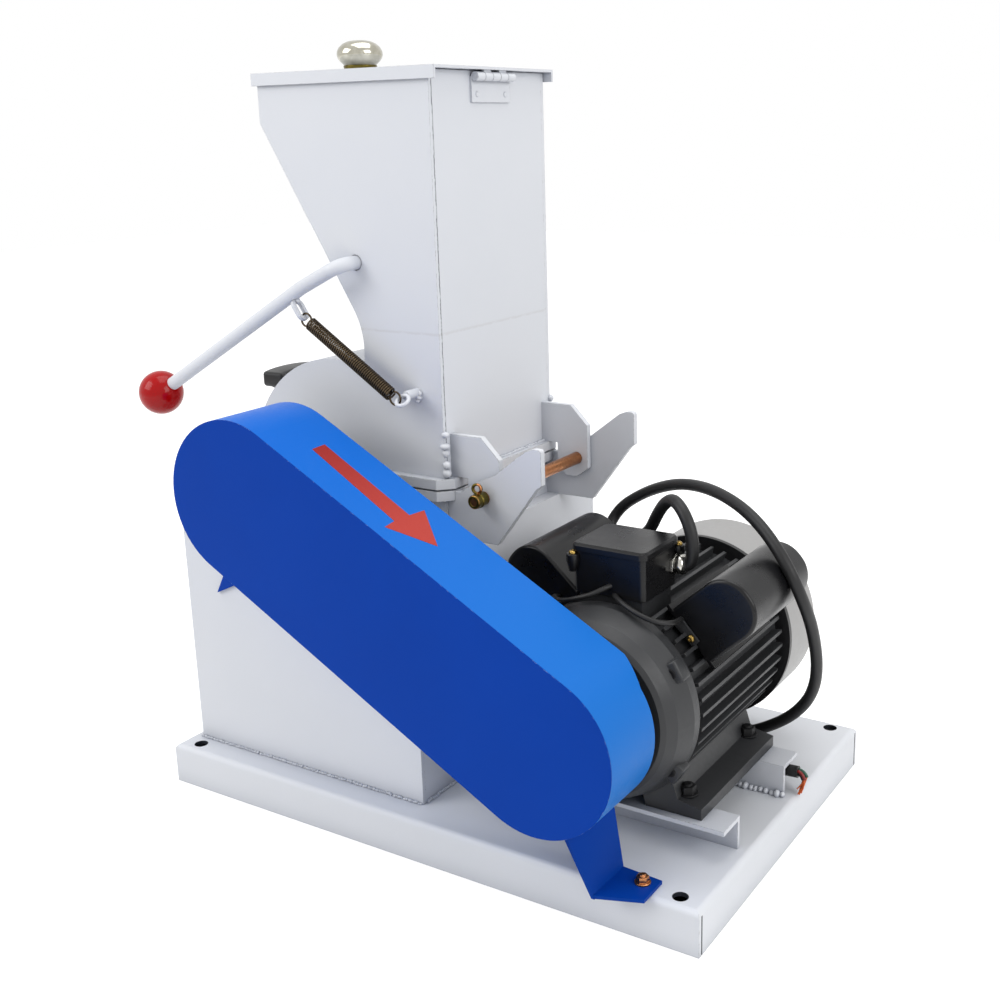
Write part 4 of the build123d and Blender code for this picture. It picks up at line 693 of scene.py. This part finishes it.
# %% [markdown]
# ## Bolts and screws
# A hexagon bolt is a washer, a six-sided head and a little of its thread. The motor's feet are held
# to the rails by four black bolts, the pillow blocks by two each, and the guard's foot by one
# small copper-coloured bolt.

# %% Hexagon bolts
UP = (0.0, 0.0, 1.0)
FOOT_BOLTS_X, FOOT_BOLTS_Y, FOOT_TOP = (94.0, 234.0), (-89.5, 35.5), 83.2
BLOCK_BOLTS_X, BLOCK_BOLTS_Y, BLOCK_TOP = (-202.0, -70.0), (-126.0, 131.0), 287.0
GUARD_BOLT = (234.0, -171.0, 43.1)


def add_bolt(shape, point, across):
    """A washer, a head and the end of a thread, upright on a seat."""
    place = seat(point, UP)
    washer = across * 0.72
    add_turned(shape, [(0.0, 0.0), (washer, 0.0), (washer, 1.2), (washer - 0.4, 1.6), (0.0, 1.6)], place)
    add_hexagon(shape, across, across * 0.5, place @ Matrix.Translation(mm(0.0, 0.0, 1.6)))
    thread = across * 0.3
    add_turned(shape, [(thread, across * 0.5), (thread, across * 0.5 + 2.6),
                       (thread - 0.8, across * 0.5 + 3.2), (0.0, across * 0.5 + 3.2)], place, steps=16)


foot_bolts = bmesh.new()
for x in FOOT_BOLTS_X:
    for y in FOOT_BOLTS_Y:
        add_bolt(foot_bolts, (x, y, FOOT_TOP), 13.0)
settle(foot_bolts, "motor_foot_bolts", "fixed_machine", black_oxide)

block_bolts = bmesh.new()
for x in BLOCK_BOLTS_X:
    for y in BLOCK_BOLTS_Y:
        add_bolt(block_bolts, (x, y, BLOCK_TOP), 17.0)
settle(block_bolts, "pillow_block_bolts", "fixed_machine", finishes["machined_steel"])

guard_bolt = bmesh.new()
add_bolt(guard_bolt, GUARD_BOLT, 9.5)
settle(guard_bolt, "guard_foot_bolt", "fixed_machine", finishes["rod_copper"])

# %% [markdown]
# Brass-coated screws hold the terminal box's lid at two opposite corners, on small bosses of the
# box, and the lip of the right capacitor cover. The hinge leaf has two painted-over rivets.

# %% Screws, bosses and rivets
SCREW_HEAD = [(0.0, 1.4), (1.1, 1.4), (1.1, 2.6), (1.7, 2.6), (2.9, 1.9), (3.4, 0.8), (3.4, 0.0),
              (0.0, 0.0)]
BOSS_HEIGHT = 15.6
BOSS = [(0.0, 0.0), (3.2, 0.0), (5.6, 9.0), (5.6, 15.0), (5.0, BOSS_HEIGHT), (0.0, BOSS_HEIGHT)]
BOX_CORNERS = [(130.5, -99.5, 268.4), (198.5, -36.5, 268.4)]
COVER_LIP = (229.5, -75.2, 217.5)
RIVET = [(2.6, 0.0), (2.4, 0.7), (1.5, 1.3), (0.0, 1.5)]
bosses = bmesh.new()
box_screws = bmesh.new()
for x, y, z in BOX_CORNERS:
    add_turned(bosses, BOSS, seat((x, y, z), UP))
    add_turned(box_screws, SCREW_HEAD, seat((x, y, z + BOSS_HEIGHT), UP), steps=16)
add_turned(box_screws, SCREW_HEAD, seat(COVER_LIP, (0.0, -1.0, 0.0)), steps=16)
settle(bosses, "terminal_box_bosses", "fixed_machine", finishes["black_plastic"])
settle(box_screws, "brass_screws", "fixed_machine", brass_finish)

rivets = bmesh.new()
for y in (-14.0, 30.0):
    add_turned(rivets, RIVET, seat((-11.0, y, 661.0), (1.0, 0.0, 0.0)), steps=16)
settle(rivets, "hinge_rivets", "upper_housing", white_enamel)

# %% [markdown]
# The cast end shield is tied to the frame by bolts through four square lugs, and the right
# capacitor sits on a small bracket whose corner shows in front of the cover.

# %% Shield lugs and capacitor bracket
MOTOR_AXIS = (164.0, 160.0)
LUG_RING = 81.5
LUG_ANGLES = (32.0, 148.0, 212.0, 328.0)
LUG_SIZE = (17.0, 14.0, 19.0)
LUG_MIDDLE_Y = -113.0
LUG_BOLT = [(0.0, 0.2), (2.4, 0.2), (2.4, 0.9), (4.2, 0.9), (4.6, 0.4), (4.6, -0.5)]
BRACKET = ((214.0, -73.0, 226.0), (221.0, -73.0, 232.5), (236.5, -73.0, 216.0), (231.0, -73.0, 209.5))
lugs = bmesh.new()
lug_bolts = bmesh.new()
for angle in LUG_ANGLES:
    turn = math.radians(angle)
    x = MOTOR_AXIS[0] + LUG_RING * math.cos(turn)
    z = MOTOR_AXIS[1] + LUG_RING * math.sin(turn)
    lean = Matrix.Rotation(-turn, 4, "Y")
    add_block(lugs, LUG_SIZE, Matrix.Translation(mm(x, LUG_MIDDLE_Y, z)) @ lean, 2.4)
    add_turned(lug_bolts, LUG_BOLT, seat((x, LUG_MIDDLE_Y - 7.1, z), (0.0, -1.0, 0.0)), steps=20)
settle(lugs, "shield_lugs", "fixed_machine", motor_enamel)
settle(lug_bolts, "shield_lug_bolts", "fixed_machine", black_oxide)

bracket = bmesh.new()
bracket_face = bracket.faces.new([bracket.verts.new(mm(*point)) for point in BRACKET])
pulled = bmesh.ops.extrude_face_region(bracket, geom=[bracket_face])
bmesh.ops.translate(bracket, vec=mm(0.0, -1.8, 0.0),
                    verts=[item for item in pulled["geom"] if isinstance(item, bmesh.types.BMVert)])
bmesh.ops.recalc_face_normals(bracket, faces=bracket.faces)
settle(bracket, "capacitor_bracket", "fixed_machine", motor_enamel)

# %% [markdown]
# ## Weld beads
# The sheet is welded by hand with a stick, which leaves a row of overlapping flattened drops. A few
# dozen squashed spheres in a row, each a little different, look like that, and the paint over
# them is the same enamel.

# %% Beads of weld
def add_bead(shape, start, end, width, seed, spacing=0.62):
    """A row of overlapping drops from one point to another."""
    chance = random.Random(seed)
    run = Vector(end) - Vector(start)
    count = max(2, int(run.length / (width * spacing)))
    along = run.normalized().to_track_quat("Z", "Y").to_matrix().to_4x4()
    for i in range(count + 1):
        made = bmesh.new()
        bmesh.ops.create_icosphere(made, subdivisions=2, radius=width / 2 * MM)
        wide = chance.uniform(0.72, 1.2)
        bmesh.ops.scale(made, vec=(wide, wide * chance.uniform(0.85, 1.1), chance.uniform(0.6, 0.95)),
                        verts=made.verts)
        point = Vector(start) + run * (i / count)
        jog = Vector([chance.uniform(-0.13, 0.13) * width for _ in range(3)])
        join_to(shape, made, Matrix.Translation((point + jog) * MM) @ along)


# Each run of weld: its start and end, its width, and the seed of its small differences.
HOUSING_WELDS = [
    ((-11.6, -70.0, 326.8), (-11.6, 90.0, 326.8), 3.4, 13),
    ((-40.0, -83.0, 397.0), (-36.5, -83.0, 402.0), 7.0, 14),
    ((-156.0, -103.0, 483.5), (-157.0, -104.5, 482.0), 4.0, 15),
]
STAND_WELDS = [
    ((4.5, -77.0, 272.0), (38.0, -77.0, 272.0), 4.0, 21),
    ((4.5, 93.0, 272.0), (38.0, 93.0, 272.0), 4.0, 21),
    ((62.0, 49.6, 41.2), (150.0, 49.6, 41.2), 3.6, 22),
    ((222.0, 16.0, 41.6), (277.0, 16.0, 41.6), 7.5, 23),
    ((3.0, -150.0, 41.0), (3.0, 150.0, 41.0), 3.6, 24),
    ((-278.0, -156.8, 41.0), (0.0, -156.8, 41.0), 3.2, 25),
    ((-278.0, 156.8, 41.0), (0.0, 156.8, 41.0), 3.2, 26),
]

housing_beads = bmesh.new()
for ear_y, seed in ((-81.0, 11), (97.0, 12)):
    add_bead(housing_beads, (-11.5, ear_y, 331.0), (-11.5, ear_y, 366.0), 9.5, seed, spacing=0.75)
for run in HOUSING_WELDS:
    add_bead(housing_beads, *run)
settle(housing_beads, "housing_weld_beads", "upper_housing", white_enamel, crease=80.0)

stand_beads = bmesh.new()
for run in STAND_WELDS:
    add_bead(stand_beads, *run)
settle(stand_beads, "stand_weld_beads", "fixed_machine", white_enamel, crease=80.0)

# %% [markdown]
# ## The return spring
# The CAD spring is one solid in its outer shape. Here a round wire is wound into close turns by
# spinning a small circle and lifting it at each step. Its two end loops hang in the lever's eye and
# in the ring on the hopper.

# %% Wound spring
SPRING_WIRE = 1.9
SPRING_RADIUS = 5.5
HOOK_RADIUS = 6.0
LEVER_PLANE_Y = -104.0
HOOK_STEP = 2.45
TURN_PITCH = 2.25
STEPS_A_TURN = 16
spring_held = Vector((-148.83, LEVER_PLANE_Y, 466.83))
spring_caught = Vector((-46.0, LEVER_PLANE_Y, 400.0))
spring_line = (spring_caught - spring_held).normalized()
coil_start = spring_held + spring_line * (HOOK_STEP + HOOK_RADIUS - 0.5)
coil_end = spring_caught - spring_line * (HOOK_STEP + HOOK_RADIUS - 0.5)
coil_length = (coil_end - coil_start).length
turns = int(coil_length / TURN_PITCH)

spring = bmesh.new()
wound = bmesh.new()
bmesh.ops.create_circle(wound, cap_ends=False, segments=7, radius=SPRING_WIRE / 2 * MM)
bmesh.ops.rotate(wound, cent=(0.0, 0.0, 0.0), matrix=Matrix.Rotation(math.radians(90), 3, "X"),
                 verts=wound.verts)
bmesh.ops.translate(wound, vec=mm(SPRING_RADIUS, 0.0, 0.0), verts=wound.verts)
bmesh.ops.spin(wound, geom=wound.verts[:] + wound.edges[:], angle=math.tau * turns,
               steps=turns * STEPS_A_TURN, axis=(0.0, 0.0, 1.0), cent=(0.0, 0.0, 0.0),
               dvec=(0.0, 0.0, coil_length / (turns * STEPS_A_TURN) * MM))
bmesh.ops.holes_fill(wound, edges=[e for e in wound.edges if e.is_boundary], sides=8)
bmesh.ops.recalc_face_normals(wound, faces=wound.faces)
join_to(spring, wound, seat(coil_start, spring_line))
for middle in (spring_held + spring_line * HOOK_STEP, spring_caught - spring_line * HOOK_STEP):
    add_wire_ring(spring, HOOK_RADIUS, SPRING_WIRE, seat(middle, (0.0, 1.0, 0.0)), 36)
wound_spring = settle(spring, "wound_gate_spring", None, finishes["spring_steel"],
                      crease=60.0)
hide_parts("gate_spring")
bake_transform(wound_spring)
print("spring turns", turns)

# %% [markdown]
# ## The direction arrow
# A red arrow on the guard's rim shows which way the belts run. It is painted on, so it is a very
# thin plate that lies on the rim, and its red gets darker towards the tail.

# %% Red arrow on the rim
RIM_START = Vector((-134.0, 0.0, 326.0))
RIM_END = Vector((166.0, 0.0, 163.5))
RIM_RADIUS = 71.5
rim_along = (RIM_END - RIM_START).normalized()
rim_out = Vector((-rim_along.z, 0.0, rim_along.x))
ARROW = [(35.1, -192.1), (137.7, -198.5), (139.4, -212.8), (177.9, -188.4), (139.3, -160.3),
         (138.1, -179.2), (34.4, -175.7)]
PAINT_LIFT = 0.04
PAINT_THICKNESS = 0.2


def arrow_red():
    """Matt red paint that runs from dark at the tail to bright at the head."""
    material, tree, output = new_material("matt_red_marking_paint")
    place = node(tree, "ShaderNodeTexCoord").outputs["Object"]
    parts = node(tree, "ShaderNodeSeparateXYZ", {"Vector": place})
    run = node(tree, "ShaderNodeMapRange",
               {"Value": parts.outputs["X"], "From Min": -100.0 * MM, "From Max": 30.0 * MM})
    speck = node(tree, "ShaderNodeTexNoise", {"Vector": place, "Scale": 1.0 / (1.5 * MM), "Detail": 3.0})
    red = node(tree, "ShaderNodeMix",
               {"Factor": run.outputs["Result"], 6: linear("8c100e"), 7: linear("b23a30")}, data_type="RGBA")
    rough = node(tree, "ShaderNodeMapRange", {"Value": speck.outputs["Fac"], "To Min": 0.45, "To Max": 0.65})
    shader = node(tree, "ShaderNodeBsdfPrincipled",
                  {"Base Color": red.outputs[2], "Roughness": rough.outputs["Result"], "IOR": 1.5,
                   "Specular IOR Level": 0.25})
    tree.links.new(shader.outputs["BSDF"], output.inputs["Surface"])
    return material


arrow = bmesh.new()
arrow_points = []
for along, y in ARROW:
    spot = RIM_START + rim_along * along + rim_out * (RIM_RADIUS + PAINT_LIFT)
    arrow_points.append(arrow.verts.new(mm(spot.x, y, spot.z)))
arrow_face = arrow.faces.new(arrow_points)
lifted = bmesh.ops.extrude_face_region(arrow, geom=[arrow_face])
bmesh.ops.translate(arrow, vec=rim_out * PAINT_THICKNESS * MM,
                    verts=[item for item in lifted["geom"] if isinstance(item, bmesh.types.BMVert)])
bmesh.ops.recalc_face_normals(arrow, faces=arrow.faces)
settle(arrow, "direction_arrow", "fixed_machine", arrow_red())

# %% [markdown]
# ## Lifting handle
# The moulded black handle on the chamber cover is a thick bow with soft edges and two feet. A block
# is divided along its length, its ends are drawn back towards the cover to make the bow, and
# its edges are rounded by the bevel operator. It is a little shorter than the CAD bow, because
# the photograph shows its far end going down behind the cover.

# %% Bow handle
HANDLE_MIDDLE = (-250.5, -17.0, 393.5)
HANDLE_SIZE = (26.0, 80.0, 15.0)
HANDLE_BOW = 9.0
HANDLE_DROP = 2.0
HANDLE_FEET_Y = (-47.0, 13.0)

handle = bmesh.new()
bar = bmesh.new()
bmesh.ops.create_cube(bar, size=1.0)
bmesh.ops.scale(bar, vec=mm(*HANDLE_SIZE), verts=bar.verts)
lengthwise = [e for e in bar.edges if abs(e.verts[0].co.y - e.verts[1].co.y) > 0.01]
bmesh.ops.subdivide_edges(bar, edges=lengthwise, cuts=11, use_grid_fill=True)
for vert in bar.verts:
    share = vert.co.y / (HANDLE_SIZE[1] / 2 * MM)
    vert.co.x += HANDLE_BOW * MM * share * share
    vert.co.z -= HANDLE_DROP * MM * max(0.0, share) ** 2
ridges = [e for e in bar.edges
          if len(e.link_faces) == 2 and e.calc_face_angle(0.0) > math.radians(40.0)]
bmesh.ops.bevel(bar, geom=ridges, offset=3.4 * MM, affect="EDGES", segments=4, profile=0.5, material=-1,
                clamp_overlap=True)
join_to(handle, bar, Matrix.Translation(mm(*HANDLE_MIDDLE)))
for y in HANDLE_FEET_Y:
    add_block(handle, (36.0, 17.0, 13.0), Matrix.Translation(mm(-228.0, y, 391.5)), 2.6)
bow_handle = settle(handle, "bow_handle", "upper_housing", finishes["handle_plastic"])
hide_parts("pull_handle")

# %% [markdown]
# ## Rod end
# The hinge rod's near end has gone olive brown, like old brass. A sleeve with a raised ring and a
# hollow in its face stands for it, and a wire ring, the bent end of the split pin, hangs in it.

# %% Rod end and pin ring
ROD_END = [(0.0, -1.2), (3.2, -1.2), (3.8, 0.2), (5.4, 0.2), (6.3, -0.6), (6.3, -6.0), (6.9, -6.6),
           (6.9, -8.4), (6.3, -9.0), (6.3, -15.2), (6.0, -15.2)]
rod_end = bmesh.new()
add_turned(rod_end, ROD_END, seat((27.0, -95.6, 313.0), (0.0, -1.0, 0.0)), steps=28)
add_wire_ring(rod_end, 4.0, 2.6, seat((27.0, -89.6, 324.0), (0.35, -1.0, 0.0)), 28)
settle(rod_end, "rod_end_sleeve", "fixed_machine", old_brass)

# %% [markdown]
# ## Lid knob
# The lid's knob is a turned and nickel-plated ball, a little flattened, on a brown ring. Both are
# profiles spun about the knob's axis.

# %% Knob and its ring
KNOB_FOOT = (-160.0, 8.0, 684.1)
KNOB_BALL = [(0.0, 30.5), (6.0, 30.3), (11.5, 29.3), (16.0, 27.2), (19.6, 23.9), (21.4, 20.2),
             (21.7, 17.2), (20.8, 13.9), (18.6, 10.9), (16.2, 8.8), (15.2, 7.4), (0.0, 7.4)]
KNOB_RING = [(0.0, 7.6), (15.4, 7.6), (16.0, 6.9), (15.4, 5.6), (15.4, 4.0), (16.6, 3.0), (17.2, 1.6),
             (17.2, 0.0), (0.0, 0.0)]
knob_ball = turned_piece("knob_ball", KNOB_BALL, seat(KNOB_FOOT, UP), 48, "lid",
                         finishes["knob_chrome"])
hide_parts("lid_knob")
turned_piece("knob_ring", KNOB_RING, seat(KNOB_FOOT, UP), 48, "lid", old_brass)

# %% [markdown]
# ## Gland nut
# A domed nickel nut presses a black rubber seal round the cable where it leaves the terminal box.

# %% Domed nut and seal
GLAND_MOUTH = (203.4, -45.0, 269.0)
GLAND_LEAN = (1.0, 0.0, 0.22)
DOME_NUT = [(5.2, 0.0), (8.4, 0.0), (9.0, 1.0), (9.0, 3.6), (8.4, 5.4), (7.0, 6.9), (5.9, 7.4), (5.2, 7.4)]
SEAL = [(5.0, 6.9), (6.4, 6.9), (6.7, 7.8), (6.2, 8.8), (5.0, 9.0)]
gland_place = seat(GLAND_MOUTH, GLAND_LEAN)
turned_piece("gland_dome_nut", DOME_NUT, gland_place, 32, "fixed_machine",
             finishes["gland_metal"])
turned_piece("gland_seal", SEAL, gland_place, 32, "fixed_machine",
             finishes["cable_rubber"])

# %% [markdown]
# ## Studio
# The machine stands on a plain pale floor in soft light. The floor and the backdrop are white to the
# camera and in reflections, through Light Path, and plain diffuse to everything else, so that the
# floor still takes the machine's soft shadow and the lamps stay at a level where a colour
# renders about as it is written. Under the tray the floor's glow is off and its colour is painted
# shade, near black, so that the bolt holes look into the dark as real ones do.

# %% Floor and lamps
TRAY_HALF = (288.0, 181.0)
FLOOR_GLOW = 0.66
FLOOR_HALF = 6.0
FLOOR_DROP = 0.0005
LAMPS = [
    ("lamp_left", (-1.6, -1.9, 1.9), 1.6, 34.0),
    ("lamp_right", (2.3, -0.4, 1.5), 1.4, 24.0),
    ("lamp_top", (0.1, 0.2, 2.6), 1.8, 26.0),
]
MACHINE_MIDDLE = Vector((0.0, 0.0, 0.3))
AIR_LIGHT = 0.55


def studio_white():
    """Pale floor that keeps a soft shadow, with painted shade, near black, under the tray."""
    material, tree, output = new_material("studio_floor_white")
    place = node(tree, "ShaderNodeTexCoord").outputs["Object"]
    parts = node(tree, "ShaderNodeSeparateXYZ", {"Vector": place})
    inside = []
    for axis, half in zip("XY", TRAY_HALF):
        size = node(tree, "ShaderNodeMath", {0: parts.outputs[axis]}, operation="ABSOLUTE")
        inside.append(node(tree, "ShaderNodeMath", {0: size.outputs["Value"], 1: half * MM},
                           operation="GREATER_THAN"))
    open_floor = node(tree, "ShaderNodeMath",
                      {0: inside[0].outputs["Value"], 1: inside[1].outputs["Value"]}, operation="MAXIMUM")
    path = node(tree, "ShaderNodeLightPath")
    seen = node(tree, "ShaderNodeMath",
                {0: path.outputs["Is Camera Ray"], 1: path.outputs["Is Glossy Ray"]}, operation="MAXIMUM")
    glowing = node(tree, "ShaderNodeMath",
                   {0: seen.outputs["Value"], 1: open_floor.outputs["Value"]}, operation="MULTIPLY")
    strength = node(tree, "ShaderNodeMath", {0: glowing.outputs["Value"], 1: FLOOR_GLOW},
                    operation="MULTIPLY")
    glow = node(tree, "ShaderNodeEmission",
                {"Color": (1.0, 1.0, 1.0, 1.0), "Strength": strength.outputs["Value"]})
    # Painted shade: the floor under the tray is near black.
    grey = node(tree, "ShaderNodeMix",
                {"Factor": open_floor.outputs["Value"], 6: linear("050505"), 7: linear("dcdcdc")},
                data_type="RGBA")
    shader = node(tree, "ShaderNodeBsdfPrincipled", {"Base Color": grey.outputs[2], "Roughness": 0.9})
    both = node(tree, "ShaderNodeAddShader", {0: shader.outputs["BSDF"], 1: glow.outputs["Emission"]})
    tree.links.new(both.outputs["Shader"], output.inputs["Surface"])
    return material


def studio_floor():
    """A square floor just under the base plate."""
    mesh = bpy.data.meshes.new("studio_floor")
    shape = bmesh.new()
    bmesh.ops.create_grid(shape, x_segments=1, y_segments=1, size=FLOOR_HALF)
    bmesh.ops.translate(shape, verts=shape.verts, vec=(0.0, 0.0, -FLOOR_DROP))
    shape.to_mesh(mesh)
    shape.free()
    floor = bpy.data.objects.new("studio_floor", mesh)
    bpy.context.scene.collection.objects.link(floor)
    finish_piece(floor, studio_white())


def soft_lamp(name, place, size, watts):
    """A square area lamp that looks at the machine."""
    lamp = bpy.data.lights.new(name, "AREA")
    lamp.shape = "SQUARE"
    lamp.size = size
    lamp.energy = watts
    holder = bpy.data.objects.new(name, lamp)
    holder.location = place
    holder.rotation_mode = "QUATERNION"
    holder.rotation_quaternion = (MACHINE_MIDDLE - Vector(place)).to_track_quat("-Z", "Y")
    bpy.context.scene.collection.objects.link(holder)


studio_floor()
for lamp_plan in LAMPS:
    soft_lamp(*lamp_plan)

world = bpy.data.worlds.new("studio_air")
world.use_nodes = True
air = world.node_tree
air.nodes.clear()
seen_path = node(air, "ShaderNodeLightPath")
bright = node(air, "ShaderNodeMath",
              {0: seen_path.outputs["Is Camera Ray"], 1: seen_path.outputs["Is Glossy Ray"]},
              operation="MAXIMUM")
level = node(air, "ShaderNodeMapRange", {"Value": bright.outputs["Value"], "To Min": AIR_LIGHT,
                                               "To Max": 1.0})
background = node(air, "ShaderNodeBackground",
                  {"Color": (1.0, 1.0, 1.0, 1.0), "Strength": level.outputs["Result"]})
air_out = node(air, "ShaderNodeOutputWorld", {"Surface": background.outputs["Background"]})
bpy.context.scene.world = world
bpy.context.scene.view_settings.view_transform = "Standard"
